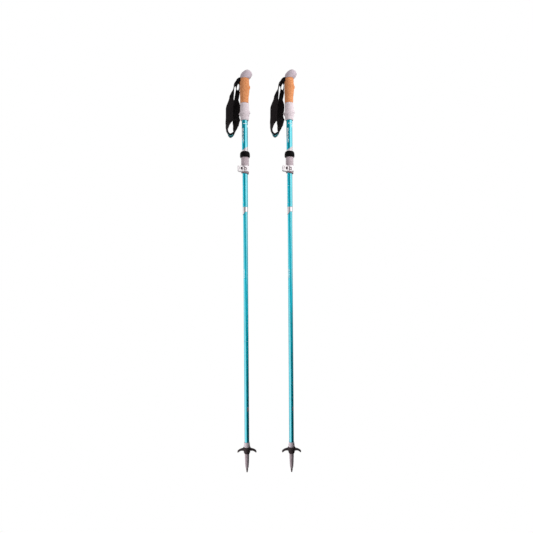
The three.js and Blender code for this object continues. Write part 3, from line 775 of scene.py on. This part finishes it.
def printed_marks(pole):
    # Block pattern up the left half of the upper tube
    dice = random.Random(11)
    blocks = []
    level = BOOT_TOP + 25.5
    while level < BOOT_TOP + 69.5:
        height = dice.choice((2.6, 3.4, 4.6))
        left = -7.4 + dice.choice((0.0, 0.0, 1.2))
        right = -3.0 - dice.choice((0.0, 0.9, 1.8))
        blocks.append(print_patch(UPPER_R, left, right, level, level + height, 0.5))
        level += height + dice.choice((1.0, 1.6))
    blocks.append(print_patch(UPPER_R, -4.2, 6.2, BOOT_TOP + 80.7, BOOT_TOP + 82.3))
    blocks.append(print_patch(UPPER_R, 6.6, 8.4, BOOT_TOP + 71.5, BOOT_TOP + 78.5))
    print_set(pole, "upper_marks", "upper", blocks)

    # Length scale: a tick every centimetre, a longer one every five
    ticks = []
    first = FERRULE_STEP + 12
    for index in range(23):
        level = first + 10 * index
        if level > high_z("middle_tube") - 6:
            break
        reach = 3.4 if index % 5 == 0 else 1.8
        ticks.append(print_patch(MIDDLE_R, -7.2, -7.2 + reach, level, level + 0.7))
    ticks.append(print_patch(MIDDLE_R, -7.45, -7.1, first, first + 220))
    print_set(pole, "length_scale", "middle", ticks)

    # Small marks on the thin shaft
    low = LOWER_JOINT + 190
    dashes = [print_patch(LOWER_R, -5.6, -3.2 - 0.5 * (k % 2), low + 3.2 * k, low + 3.2 * k + 2, 0.3)
              for k in range(8)]
    print_set(pole, "lower_marks", "lower", dashes)
    low = COLLAR_LOW + 108
    dots = [print_patch(LOWER_R, 3.4, 5.2, low + 4 * k, low + 4 * k + 2.2) for k in range(3)]
    print_set(pole, "bottom_marks", "bottom", dots, "coral")


# ---------------------------------------------------------------- grip

def grip_body(pole, name, rows, material, node, bore_top=None, lip=0.7, slotted=False, grooves=()):
    """A smooth oval sleeve with rounded rims and a straight bore."""
    levels = spline(rows, 60)
    for height, depth, width in grooves:
        for row in levels:
            dip = depth * math.exp(-((row[0] - height) / width) ** 2)
            row[1] += dip
            row[2] -= dip
            row[3] -= dip
    first, last = levels[0], levels[-1]
    inset = lambda row, by, up: [row[0] + up, row[1] + by, row[2] - by, row[3] - by]
    rims = [inset(first, lip, 0), inset(first, lip * 0.3, lip * 0.3), inset(first, 0, lip)]
    tops = [inset(last, 0, -lip), inset(last, lip * 0.3, -lip * 0.3), inset(last, lip, 0)]
    rings = ovals(rims + [row for row in levels if first[0] + lip < row[0] < last[0] - lip] + tops)
    rings += [circle(bore_top or UPPER_BORE, last[0]), circle(UPPER_BORE, first[0])]
    solid = raw_solid(*skin(rings, loop=True))
    if slotted:
        combine(solid, "DIFFERENCE", strap_slot())
    place_solid(pole, solid, name, "upper", material, node)


SLOT_HALF_HEIGHT = 6.6
SLOT_HALF_WIDTH = 8.3


def strap_slot():
    return block((-30, -SLOT_HALF_WIDTH, PIVOT.z - SLOT_HALF_HEIGHT),
                 (-0.5, SLOT_HALF_WIDTH, PIVOT.z + SLOT_HALF_HEIGHT))


def grip(pole):
    low = CORK_LOW
    grip_body(pole, "cork_handle", [
        [low, -13.2, 11.8, 12.8],
        [low + 9, -13.4, 11.9, 12.9],
        [low + 18, -13.5, 12.2, 13.1],
        [low + 26, -13.7, 13.3, 13.5],
        [low + 34, -13.9, 14.1, 13.7],
        [low + 41, -14.1, 14.8, 13.9],
        [low + 45.5, -14.2, 16.6, 13.9],
        [low + 49.5, -14.2, 16.9, 13.9],
        [low + 53, -14.2, 15.3, 13.8],
        [low + 57, -14.2, 14.3, 13.7],
        [low + 62, -14.0, 13.9, 13.6],
        [HEAD_LOW, -13.7, 13.6, 13.4],
    ], "cork", "cork_grip", bore_top=11.9, lip=0.5, slotted=True, grooves=[(low + 52.5, 0.22, 1.1)])
    low = GRIP_LOW
    grip_body(pole, "lower_handle", [
        [low, -11.3, 11.3, 11.3],
        [low + 4, -12.4, 12.4, 12.3],
        [low + 10, -12.8, 12.7, 12.7],
        [low + 14, -14.2, 13.6, 13.8],
        [low + 18.5, -17.2, 14.6, 15.6],
        [low + 21, -16.4, 15.7, 15.8],
        [low + 24, -14.6, 16.3, 15.4],
        [low + 28, -13.6, 15.0, 14.0],
        [low + 33, -13.4, 13.4, 13.4],
        [low + 42, -13.3, 13.0, 13.2],
        [CORK_LOW - 0.3, -13.2, 12.1, 12.9],
    ], "grip", "lower_grip", grooves=[(low + 30, 0.3, 0.7), (low + 3.2, 0.35, 0.5)])
    head(pole)
    strap_anchor(pole)


def head(pole):
    low = HEAD_LOW + 0.3
    rows = spline([
        [low, -13.5, 14.0, 13.4],
        [low + 2.2, -13.3, 16.4, 13.8],
        [low + 4.7, -13.0, 18.9, 14.2],
        [low + 7.7, -12.7, 20.8, 14.4],
        [low + 11.2, -12.0, 22.6, 14.4],
        [low + 14.7, -10.2, 23.2, 14.0],
        [low + 18.2, -7.2, 21.8, 12.8],
        [low + 21.2, -4.0, 20.2, 11.2],
        [low + 23.7, -0.6, 17.2, 8.8],
        [low + 26.1, 3.6, 13.6, 5.2],
        [HEAD_TOP - 0.05, 7.2, 10.8, 1.6],
    ], 56)
    rim = [[low, -12.9, 13.4, 12.8], [low + 0.2, -13.3, 13.8, 13.2]]
    crown = [[HEAD_TOP, 8.4, 9.6, 0.6]]
    rings = ovals(rim + [row for row in rows if row[0] > low + 0.5] + crown)
    rings = [dimpled(ring) for ring in rings]
    solid = raw_solid(*skin(rings))
    core = pillar(11.6, low_z("head_cap") + 9, low + 2)
    stem = pillar(UPPER_R - WALL - 0.3, low_z("head_cap"), low_z("head_cap") + 11)
    combine(solid, "UNION", core, stem)
    combine(solid, "DIFFERENCE", strap_slot(), bolt(1.8, -14, 14, PIN_X, PIVOT.z))
    place_solid(pole, solid, "head_moulding", "upper", "head", "head_cap")


def dimpled(ring):
    """A shallow palm recess on the front of each side of the head, and a mould line over its middle."""
    out = []
    for x, y, z in ring:
        across = (x - 14.5) / 5.2
        up = (z - (HEAD_LOW + 17)) / 6.5
        depth = 0.8 * math.exp(-(across ** 2 + up ** 2) ** 1.5)
        out.append((x, y - math.copysign(depth, y) if abs(y) > 2 else y, z))
    return out


def strap_anchor(pole):
    pin = bolt(1.5, -9.4, 9.4, PIN_X, PIVOT.z, 32)
    soften(pin, 0.3)
    place_solid(pole, pin, "strap_cross_pin", "upper", "steel", "strap_pin")
    low, high = cad("strap_wedge")
    jam = block((low.x, low.y, low.z), (high.x, high.y, high.z - 0.4))
    soften(jam, 0.3)
    place_solid(pole, jam, "strap_jam_wedge", "upper", "dark", "strap_wedge")


# ---------------------------------------------------------------- clamp

def boot(pole):
    low, top = BOOT_LOW, BOOT_TOP
    sleeve_top = high_z("clamp_sleeve")
    outline = [
        (UPPER_BORE, sleeve_top + 0.3), (11.8, sleeve_top + 0.3), (11.8, low), (14.0, low, 0.6),
        (14.9, low + 3, 2.5), (14.9, top - 9, 4.0), (14.1, top - 4, 3.5), (12.2, top - 0.9, 2.0),
        (10.2, top, 0.5), (UPPER_BORE, top),
    ]
    pole.add("rubber_boot", turned(outline, 96, 0.3, 4), "upper", "boot", "clamp_boot")


def sleeve(pole):
    low, high = span("clamp_sleeve")
    step = low_z("upper_tube") - 0.3
    shoulder = CLAMP_HIGH + 0.3
    solid = raw_solid(*turned([
        (MIDDLE_BORE, low), (10.6, low), (10.6, shoulder, 0), (11.5, shoulder, 0.4),
        (11.5, shoulder + 3.2, 0), (11.2, shoulder + 3.6, 0), (11.2, shoulder + 4.4, 0),
        (11.5, shoulder + 4.8, 0), (11.5, high), (UPPER_BORE, high), (UPPER_BORE, step), (MIDDLE_BORE, step),
    ], 96))
    combine(solid, "DIFFERENCE", block((-20, -0.8, low - 2), (0, 0.8, CLAMP_HIGH + 4)))
    place_solid(pole, solid, "clamp_housing", "upper", "sleeve", "clamp_sleeve")


def wiper(pole):
    high = high_z("wiper_ring")
    slope = math.tan(math.radians(9))
    foot = lambda x, y: high - 2.8 - slope * x
    rings = [circle(MIDDLE_BORE, foot), circle(10.5, foot), circle(10.9, lambda x, y: foot(x, y) + 0.3),
             circle(11.4, lambda x, y: foot(x, y) + 0.9),
             circle(11.4, high - 0.5), circle(11.1, high), circle(MIDDLE_BORE, high)]
    # The foot ring's dark grey material paints the shade that falls under the clamp
    pole.add("clamp_foot_ring", skin(rings, loop=True), "upper", "wiper", "wiper_ring")


LUG_OUT = 4.2
HUB_R = 4.3
SCREW_R = 1.5
SCREW_BORE = SCREW_R + 0.3
COLLAR_OUT, COLLAR_IN = 11.9, 10.9


def hub_corner(height):
    """Cutter for the sloping lower corner of the hub and lugs, from height down and inwards."""
    return block((-10, -20, -8), (12, 20, 0), math.radians(27), (BARREL.x - HUB_R, 0, height))


def clamp_band(pole):
    low, high = CLAMP_LOW, CLAMP_HIGH
    band = pipe(COLLAR_OUT, COLLAR_IN, low, high)
    lugs = block((BARREL.x - HUB_R, -LUG_OUT, low + 1), (-11.2, LUG_OUT, high - 1))
    combine(lugs, "DIFFERENCE", hub_corner(low + 3.8))
    pad = pipe(13.6, 11.4, low + 0.5, high - 1.5)
    combine(pad, "INTERSECT", wedge(268, 330, low, high))
    recess = bolt(4.4, -20, -12.4, 2.4, CLAMP_MID - 1.5)
    combine(recess, "DIFFERENCE", bolt(2.1, -21, -12, 1.6, CLAMP_MID - 2))
    combine(band, "UNION", lugs, pad)
    combine(band, "DIFFERENCE", recess, pillar(COLLAR_IN, low - 1, high + 1, count=96),
            block((-30, -1.2, low - 1), (-8, 1.2, high + 1)),
            bolt(SCREW_BORE, -20, 20, BARREL.x, CLAMP_MID))
    soften(band, 0.28)
    # Painted shade: the floor and walls of the oval recess and the band's undersides take the darker shade
    # material
    painted_shade_faces = lambda c, n: (
        -13.25 < c.y < -11.95 and -2.6 < c.x < 7.2 and math.hypot(c.x, c.y) < 13.35 or n.z < -0.8)
    place_solid(pole, band, "clamp_collar", "upper", "white", "clamp_band", "shade", painted_shade_faces)
    # Painted shadow: a thin grey sheet on the band beneath the lever, where the lever's shade falls
    shadow = print_patch(COLLAR_OUT, -11.7, -0.5, CLAMP_LOW + 1.2, CLAMP_HIGH - 1.2, steps=14)
    print_set(pole, "painted_lever_shadow", "upper", [shadow], "sleeve", "dark_plastic")


def clamp_lever(pole):
    low, high = CLAMP_LOW + 0.2, CLAMP_HIGH - 0.2
    outer, inner = 14.8, 12.6
    arm = pipe(outer, inner, low, high)
    combine(arm, "INTERSECT", wedge(214, 258, low - 1, high + 1))
    neck = block((BARREL.x, BARREL.y - HUB_R, low), (-9, BARREL.y - 0.8, high))
    combine(neck, "DIFFERENCE", pillar(inner, low - 1, high + 1, count=96))
    combine(arm, "UNION", pillar(HUB_R, low, high, BARREL.x, BARREL.y), neck)
    slot_x, slot_r, slot_reach = -9.0, 3.2, 1.2
    slot_low, slot_high = CLAMP_MID - slot_reach, CLAMP_MID + slot_reach
    slot = bolt(slot_r, -20, -3, slot_x, slot_high)
    combine(slot, "UNION", bolt(slot_r, -20, -3, slot_x, slot_low),
            block((slot_x - slot_r, -20, slot_low), (slot_x + slot_r, -3, slot_high)))
    # room behind and beside the hub for the screw as the lever turns
    room = wedge(62, 233, CLAMP_MID - 1.8, CLAMP_MID + 1.8, 9)
    room.data.transform(Matrix.Translation(Vector((BARREL.x, BARREL.y, 0)) * MM))
    hole = ((-20.2, -0.6), (-14.6, -0.6), (-15.2, 3.4), (-16.5, 5.4), (-18.0, 5.4))
    pocket = raw_solid(*skin([[(x, y, CLAMP_MID + z) for x, z in hole] for y in (-20, -11.6)]))
    free_corner = block((-6, -20, 0), (8, 20, 8), math.radians(38), (-4.4, 0, CLAMP_HIGH - 3.4))
    combine(arm, "DIFFERENCE", pillar(2.7, low - 1, high + 1, BARREL.x, BARREL.y, 48), room, slot, pocket,
            free_corner, hub_corner(low + 3.2))
    soften(arm, 0.35)
    # Painted shade: the walls of the lever's slot take the darker shade material
    painted_shade_in_slot = lambda c, n: (
        abs(c.x - slot_x) < slot_r + 0.1 and abs(c.z - CLAMP_MID) < slot_r + slot_reach and n.y > -0.5)
    # The lever takes the white coating painted lighter than the band's, as painted light
    place_solid(pole, arm, "clamp_lever_arm", "lever", "lever_white", "clamp_lever", "shade", painted_shade_in_slot)


def clamp_hardware(pole):
    barrel = pillar(2.4, CLAMP_LOW + 2.4, CLAMP_HIGH - 1, BARREL.x, BARREL.y, 48)
    combine(barrel, "DIFFERENCE", bolt(SCREW_BORE, -20, 20, BARREL.x, CLAMP_MID))
    soften(barrel, 0.2)
    place_solid(pole, barrel, "lever_pivot", "upper", "steel", "lever_barrel")
    low, high = cad("clamp_screw")
    screw = bolt(SCREW_R, low.y, high.y, BARREL.x, CLAMP_MID)
    combine(screw, "DIFFERENCE", bolt(0.75, low.y - 1, low.y + 1.2, BARREL.x, CLAMP_MID, 6))
    soften(screw, 0.2)
    place_solid(pole, screw, "tension_screw", "upper", "steel", "clamp_screw")
    low, high = cad("thumb_nut")
    rim = (high.z - low.z) / 2
    rings = []
    points = 96
    for y, shrink in ((low.y, 0.5), (low.y + 0.4, 0.1), (low.y + 0.8, 0), (high.y - 0.8, 0),
                      (high.y - 0.4, 0.12), (high.y, 0.55)):
        ring = []
        for k in range(points):
            angle = math.tau * k / points
            scallop = 0.55 * (0.5 - 0.5 * math.cos(12 * angle)) ** 0.6
            r = rim + 0.1 - shrink - scallop
            ring.append((BARREL.x + r * math.cos(angle), y, CLAMP_MID + r * math.sin(angle)))
        rings.append(ring)
    nut = raw_solid(*skin(rings))
    combine(nut, "DIFFERENCE", bolt(SCREW_BORE, low.y - 1, high.y + 1, BARREL.x, CLAMP_MID))
    place_solid(pole, nut, "thumb_wheel", "nut", "dark_steel", "thumb_nut")


def clamp(pole):
    boot(pole)
    sleeve(pole)
    wiper(pole)
    clamp_band(pole)
    clamp_lever(pole)
    clamp_hardware(pole)


# ---------------------------------------------------------------- tip and basket

def tip(pole):
    nose = low_z("flex_tip") - 0.3
    collar = COLLAR_LOW
    top = high_z("flex_tip")
    shape = turned([
        (0, nose + 10), (2.8, nose + 10), (2.8, nose + 0.3), (3.7, nose + 0.3, 0.5),
        (4.9, nose + 4, 3), (5.9, nose + 18, 8), (6.5, nose + 36, 8), (6.75, nose + 47, 4),
        (6.6, nose + 48), (6.6, collar), (9.4, collar, 0.5), (9.0, collar + 6, 4), (7.9, collar + 14, 0.25),
        (LOWER_R + 0.3, collar + 14, 0.1), (LOWER_R + 0.3, collar + 3.7), (LOWER_R - 0.9, collar + 3.7),
        (LOWER_R - 0.9, top - 1), (LOWER_R - 1.6, top, 0.6), (0, top),
    ], radius=0.3)
    vertices, faces = shape
    centre = [sum(vertices[i][2] for i in face) / len(face) for face in faces]
    reach = [sum(math.hypot(*vertices[i][:2]) for i in face) / len(face) for face in faces]
    picks = [int(z > collar + 0.6 and r > LOWER_R) for z, r in zip(centre, reach)]
    pole.add("flexible_tip", shape, "bottom", ["tip", "collar"], "flex_tip", picks)
    outline = [
        (0, 0), (1.75, 0, 0.3), (2.0, 1.2, 0.8), (3.1, nose - 3, 1.0), (3.1, nose, 0.3), (2.5, nose),
        (2.5, nose + 9.7), (0, nose + 9.7),
    ]
    pole.add("hard_tip", turned(outline, 48, 0.2), "bottom", "dark_steel", "tip_insert")


# The basket's wings from the shaft out to one end: reach, half width, drop of the top, thickness
WING = [
    [0, 8.4, 4.4, 5.8],
    [8, 8.2, 4.5, 5.8],
    [11.5, 7.0, 4.7, 5.7],
    [14.5, 5.5, 5.0, 5.6],
    [18.5, 4.8, 5.9, 5.4],
    [22, 4.6, 7.4, 5.7],
    [25, 4.5, 9.2, 6.2],
    [26.8, 4.0, 10.7, 6.0],
    [27.9, 3.0, 11.9, 4.8],
    [28.4, 1.6, 13.2, 2.4],
]


def basket(pole):
    """Two narrow wings with thickened drooping ends on a conical hub."""
    top, hub_low = high_z("basket"), low_z("basket")
    half = spline(WING, 34)
    stations = [[-x, *size] for x, *size in reversed(half[1:])] + half
    rings = []
    for x, width, drop, thick in stations:
        ring = []
        for k in range(24):
            angle = math.tau * k / 24
            c, s = math.cos(angle), math.sin(angle)
            across = math.copysign(abs(c) ** 0.55, c)
            up = math.copysign(abs(s) ** 0.75, s)
            rib = 0.35 * math.exp(-(across / 0.3) ** 2) if s > 0 and abs(x) > 12 else 0.0
            ring.append((x, width * across, top - drop - thick / 2 + thick / 2 * up + rib))
        rings.append(ring)
    wings = raw_solid(*skin(rings))
    hub = raw_solid(*turned([
        (0, hub_low), (8.4, hub_low), (9.2, hub_low + 2.4, 1), (11.4, top - 6, 1.5), (11.2, top - 2, 1),
        (10.0, top), (0, top),
    ], 96, 0.4))
    combine(wings, "UNION", hub)
    combine(wings, "DIFFERENCE", pillar(6.9, hub_low - 1, top + 1))
    place_solid(pole, wings, "trail_basket", "basket", "dark", "basket")


# ---------------------------------------------------------------- wrist strap

# The hanging loop as two legs, each from the slot down to the bottom of the loop: height, x, y,
# turn about Z in degrees, and band width. The outer leg hangs in front of the inner one.
OUTER_LEG = [
    [1171.1, -18.4, 0, 2, 15],
    [1169.8, -21.2, -0.3, 22, 15],
    [1165, -24.0, -0.6, 36, 15],
    [1158.5, -26.6, -0.9, 38, 15],
    [1152, -28.6, -1, 26, 15],
    [1146, -31.5, -1, 11, 15],
    [1141, -33.2, -1, 16, 15],
    [1135, -35.3, -1, 30, 15],
    [1129, -36.6, -1, 40, 16.5],
    [1123, -38.3, -1, 46, 18],
    [1117, -39.0, 0, 43, 20],
    [1111, -40.6, 1, 41, 23],
    [1105, -41.7, 2, 45, 26.5],
    [1093, -45.4, 3, 46, 28.5],
    [1079, -46.2, 3, 44, 29.5],
    [1063, -46.6, 3, 42, 30],
    [1051, -47.4, 3, 42, 30],
    [1045, -47.7, 3, 43, 29],
    [1039, -49.6, 3, 32, 28.5],
    [1033, -51.5, 3, 24, 28],
    [1027, -52.2, 3, 17, 27.5],
    [1021, -52.9, 3, 10, 27],
    [1016, -51.4, 3.5, 4, 26],
    [1011.5, -49.4, 4, 0, 25.5],
    [1007.6, -47.0, 4, 0, 25],
    [1005.6, -44.8, 4, 0, 25],
]
INNER_LEG = [
    [1167.0, -18.4, 0.6, 2, 15],
    [1164.5, -20.2, 1.0, 26, 15],
    [1160.5, -22.6, 1.3, 30, 13],
    [1156, -23.6, 1.6, 32, 13],
    [1151, -24.2, 2, 18, 11],
    [1146, -24.4, 2.4, 4, 10],
    [1141, -24.6, 2.8, 12, 10],
    [1137, -22.8, 3.2, 38, 14],
    [1134, -21.2, 3.8, 51, 16.5],
    [1129, -21.8, 4.8, 50, 18],
    [1123, -23.1, 6, 48, 18.5],
    [1117, -24.2, 7, 44.5, 19.5],
    [1111, -26.0, 8.5, 41, 21.5],
    [1105, -26.4, 10, 46, 25],
    [1099, -25.8, 12, 50, 28],
    [1093, -25.9, 13.5, 52, 29],
    [1081, -26.6, 15.5, 52, 30],
    [1069, -28.0, 17, 46, 30],
    [1060, -27.8, 17, 46, 30],
    [1051, -25.5, 9, 51, 29],
    [1045, -26.2, 8.5, 45, 29],
    [1039, -26.4, 8, 38, 28.5],
    [1033, -27.2, 7.5, 36, 28],
    [1027, -28.6, 7, 28, 28],
    [1021, -29.4, 6.5, 20, 27.5],
    [1016, -30.8, 6, 8, 27],
    [1011.5, -33.8, 5, 2, 26],
    [1007.6, -38.2, 4.3, 0, 25],
    [1005.6, -41.4, 4, 0, 25],
]
# The webbing's doubled-back end, between the grip and the inner leg
TAIL = [
    [1166.5, -18.3, 0.8, 6, 14],
    [1162, -17.1, 1.2, 8, 11],
    [1156, -15.7, 1.6, 0, 9],
    [1149, -15.9, 2, 2, 9],
    [1145, -16.4, 2.4, 8, 10],
    [1140, -17.6, 3.0, 22, 12],
    [1134, -21.0, 3.8, 47, 14],
]


STRAP_POINTS = 300
STRAP_TWIST = {"left": 4.3, "right": -1.8}  # degrees: the two straps hang a little differently
PAD_TOP = 1118.0
# Near the loop's bottom the band tips, outer face forward: slope, height where it starts, height it takes
TIP_DOWN, TIP_TOP, TIP_OVER = 0.2, 1018, 10


def strap_frames(pole, levels, count):
    """Cross-section frames along a list of levels."""
    rows = []
    for z, x, y, turn, width in levels:
        angle = math.radians(turn + STRAP_TWIST[pole.side])
        rows.append([x, y, z, math.sin(angle), math.cos(angle), width])
    fine = spline(rows, count)
    frames = []
    travelled = 0.0
    for i, row in enumerate(fine):
        centre = Vector(row[:3])
        ahead = Vector(fine[min(count - 1, i + 1)][:3]) - Vector(fine[max(0, i - 1)][:3])
        tip_down = TIP_DOWN * min(1.0, max(0.0, (TIP_TOP - row[2]) / TIP_OVER))
        across = Vector((-row[3], row[4], -tip_down)).normalized()
        out = across.cross(ahead).normalized()
        if i:
            travelled += (centre - frames[-1][0]).length
        frames.append((centre, across, out, row[5], travelled))
    return frames


def band(pole, name, frames, profile, material, node=None, share=1.0, offset=0.0):
    """Sweeps a closed cross-section (across from -1 to 1 of half width, outwards in mm) along frames.
    UVs hold the distance across and along in mm."""
    rings, marks = [], []
    for centre, across, out, width, along in frames:
        half = width * share / 2
        rings.append([centre + across * (u * half) + out * (offset + w) for u, w in profile])
        marks += [(u * half, along) for u, _ in profile]
    shape = skin(rings)
    uvs = [marks[i] for face in shape[1] for i in face]
    pole.add(name, shape, "strap", material, node, uvs=uvs, sharp=60)


def flat_profile(thickness):
    """Flat tape with soft edges, as (across share, outwards)."""
    h = thickness / 2
    top = [(-1, 0.4), (-0.952, 1), (-0.5, 1), (0, 1), (0.5, 1), (0.952, 1), (1, 0.4)]
    return [(u, -w * h) for u, w in top] + [(u, w * h) for u, w in reversed(top)]


def padded_profile(thickness):
    """Crowned pad with a flat bound edge each side."""
    h = thickness / 2
    side = [(-1.0, 0.45), (-0.93, 0.62), (-0.87, 0.55), (-0.84, 0.5), (-0.78, 0.72), (-0.6, 0.95),
            (-0.3, 1.05), (0.0, 1.08)]
    top = side + [(-u, w) for u, w in reversed(side[:-1])]
    return [(u, w * h) for u, w in top] + [(u, -w * h) for u, w in reversed(top)]


def strap(pole):
    frames = strap_frames(pole, OUTER_LEG + INNER_LEG[::-1], STRAP_POINTS)
    padded = [i for i, f in enumerate(frames) if f[0].z < PAD_TOP]
    first, last = padded[0], padded[-1]
    webbing = flat_profile(1.7)
    # The two webbing legs run on a little way inside the pad's ends
    band(pole, "strap_leg_outer", frames[:first + 3], webbing, "webbing", "strap_webbing")
    band(pole, "strap_leg_inner", frames[last - 2:], webbing, "webbing")
    band(pole, "strap_tail", strap_frames(pole, TAIL, 40), webbing, "webbing")
    band(pole, "strap_padded_band", frames[first:last + 1], padded_profile(2.9), "lining", "strap_pad")
    bottom = min(range(STRAP_POINTS), key=lambda i: frames[i][0].z)
    middle = frames[bottom][4]
    label = [f for f in frames if abs(f[4] - middle) < 8.5]
    band(pole, "strap_label_band", label, flat_profile(0.6), "label", "strap_label", 0.72, 2.0)
    for index, shift in enumerate((-0.32, 0.32)):
        line = [(c + a * (shift * w * 0.5), a, o, w, t) for c, a, o, w, t in label]
        band(pole, f"strap_label_line_{index}", line, flat_profile(0.3), "label_line", None, 0.09, 2.35)
    neck(pole)
    root(pole)


# The neck's upper edge outwards and its lower edge back, as (x, height over the pivot)
NECK_TOP = [(-13.0, 6.2), (-14.8, 6.5), (-16.8, 6.0), (-19.5, 4.0), (-22.4, 1.2), (-24.6, -2.4),
            (-26.2, -5.6)]
NECK_LOW = [(-24.6, -6.6), (-21.5, -6.0), (-19.4, -7.4), (-17.6, -9.6), (-15.8, -9.8), (-14.9, -8.0),
            (-13.0, -6.2)]


def neck(pole):
    """The bunched webbing between the slot and the two legs."""
    outline = spline(NECK_TOP, 30) + spline(NECK_LOW, 30)
    middle_x = sum(x for x, _ in outline) / len(outline)
    middle_z = sum(z for _, z in outline) / len(outline)
    half = 7.5
    rings = []
    for k in range(29):
        y = -half + 2 * half * k / 28
        edge = max(0.0, (abs(y) - half + 1.2) / 1.2)
        shrink = 1 - 0.22 * edge ** 2 - 0.012 * (k % 2)
        rings.append([(middle_x + (x - middle_x) * (1 - (1 - shrink) * 0.6), y,
                       PIVOT.z + middle_z + (z - middle_z) * shrink) for x, z in outline])
    vertices, faces = skin(rings)
    corners = [vertices[i] for face in faces for i in face]
    pole.add("strap_neck", (vertices, faces), None, "webbing", uvs=[(y, x + 0.6 * z) for x, y, z in corners])


def root(pole):
    """Doubled webbing round the cross pin, out to the mouth of the slot."""
    low, high = cad("strap_root")
    centre_z = (low.z + high.z) / 2
    half = (high.z - low.z) / 2
    outline = []
    for k in range(17):
        angle = -math.pi / 2 + math.pi * k / 16
        outline.append((PIN_X + (half + 0.2) * math.cos(angle), centre_z + half * math.sin(angle)))
    # the two layers part round the pin, lie together, and flare where they leave the slot
    turns = [math.radians(172 - 344 * k / 32) for k in range(33)]
    eye = [(PIN_X + 1.9 * math.cos(a), centre_z + 1.9 * math.sin(a)) for a in turns]
    above = [(-9, half), (-12.3, 4.4), (-14.2, 5.9), (-15.1, 5.6), (-14.8, 3.0), (-14.6, 0.2)]
    below = [(-14.6, -0.2), (-14.8, -2.6), (-15.1, -5.4), (-14.2, -5.9), (-13.6, -4.2), (-13.2, -half)]
    path = outline + [(x, centre_z + z) for x, z in above] + eye + [(x, centre_z + z) for x, z in below]
    vertices, faces = skin([[(x, y, z) for x, z in path] for y in (low.y, high.y)])
    pole.add("strap_root_loop", (vertices, faces), "upper", "webbing", "strap_root",
             uvs=[(vertices[i][1], vertices[i][0]) for face in faces for i in face])


# ---------------------------------------------------------------- build both poles

for side in SIDES:
    pole = Pole(side)
    shafts(pole)
    printed_marks(pole)
    grip(pole)
    clamp(pole)
    tip(pole)
    basket(pole)
    strap(pole)


# ---------------------------------------------------------------- studio

def floor_material():
    """Plain white paper, lit to pure white."""
    m = Nodes("studio_floor")
    m.set(Base_Color=(0, 0, 0, 1), Roughness=1.0, Specular_IOR_Level=0.0,
          Emission_Color=(1, 1, 1, 1), Emission_Strength=1.0)
    return m.material


def board(name, corners, material):
    mesh = bpy.data.meshes.new(name)
    mesh.from_pydata(corners, [], [(0, 1, 2, 3)])
    mesh.materials.append(material)
    sheet = link(name, mesh)
    sheet.visible_glossy = False
    return sheet


def studio_floor():
    size, drop = 30.0, -0.06
    corners = [(x * size, y * size, drop) for x, y in ((-1, -1), (1, -1), (1, 1), (-1, 1))]
    floor = board("floor", corners, floor_material())
    floor.visible_diffuse = False
    floor.visible_shadow = False


def flag():
    """Black boards beside the lower shafts, unseen by the camera, that take away light from +X."""
    m = Nodes("flag")
    m.set(Base_Color=(0, 0, 0, 1), Specular_IOR_Level=0.0)
    low, high = -0.3, 0.34
    corner, back, front = (0.24, -0.3), (0.24, 0.5), (0.09, -0.7)
    for name, start, end in (("flag_side", corner, back), ("flag_front", corner, front)):
        sheet = board(name, [(*start, low), (*end, low), (*end, high), (*start, high)], m.material)
        sheet.visible_camera = False


class World(Nodes):
    """The studio round the poles: white to the camera, softly lit, with light and dark panels to reflect."""

    def __init__(self):
        world = bpy.data.worlds.new("studio")
        bpy.context.scene.world = world
        world.use_nodes = True
        self.tree = world.node_tree
        direction = self.node("TexCoord").outputs["Generated"]
        up = self.node("SeparateXYZ", Vector=direction).outputs[2]
        soft = self.grey(up, -0.55, 0.15, SOFT_LOW, SOFT_HIGH)
        panels = self.mix(1.0, self.panels(direction), grey_tone(BAND_PEAK), "MULTIPLY")
        rays = self.node("LightPath").outputs
        tone = self.mix(rays["Is Glossy Ray"], soft, panels)
        tone = self.mix(rays["Is Camera Ray"], tone, (1, 1, 1, 1))
        self.feed(self.tree.nodes["Background"].inputs["Color"], tone)


def area_light(name, place, aim, size, power):
    light = bpy.data.lights.new(name, "AREA")
    light.shape = "SQUARE"
    light.size = size
    light.energy = power
    lamp = link(name, light)
    lamp.location = place
    lamp.rotation_euler = (Vector(aim) - Vector(place)).to_track_quat("-Z", "Y").to_euler()
    lamp.visible_camera = False
    lamp.visible_glossy = False


studio_floor()
flag()
World()
area_light("upper_softbox", (1.2, -0.62, 1.12), (0.06, 0, 1.08), 0.4, 14)
area_light("lower_softbox", (-0.85, -0.4, 0.1), (0.06, 0, 0.05), 0.35, 6)

CAMERA_DISTANCE = 1.25
FRAME_WIDTH = 1.590  # what the camera sees across, at the poles
MIDDLE_X = 0.0620
MIDDLE_Z = 0.613
ROLL = math.radians(0.39)
lens = bpy.data.cameras.new("camera")
lens.sensor_width = 36
lens.lens = 36 * CAMERA_DISTANCE / FRAME_WIDTH
camera = link("camera", lens)
camera.location = (MIDDLE_X, -CAMERA_DISTANCE, MIDDLE_Z)
camera.rotation_euler = (Matrix.Rotation(ROLL, 3, "Y") @ Matrix.Rotation(math.pi / 2, 3, "X")).to_euler()
bpy.context.scene.camera = camera
bpy.context.scene.view_settings.view_transform = "Standard"
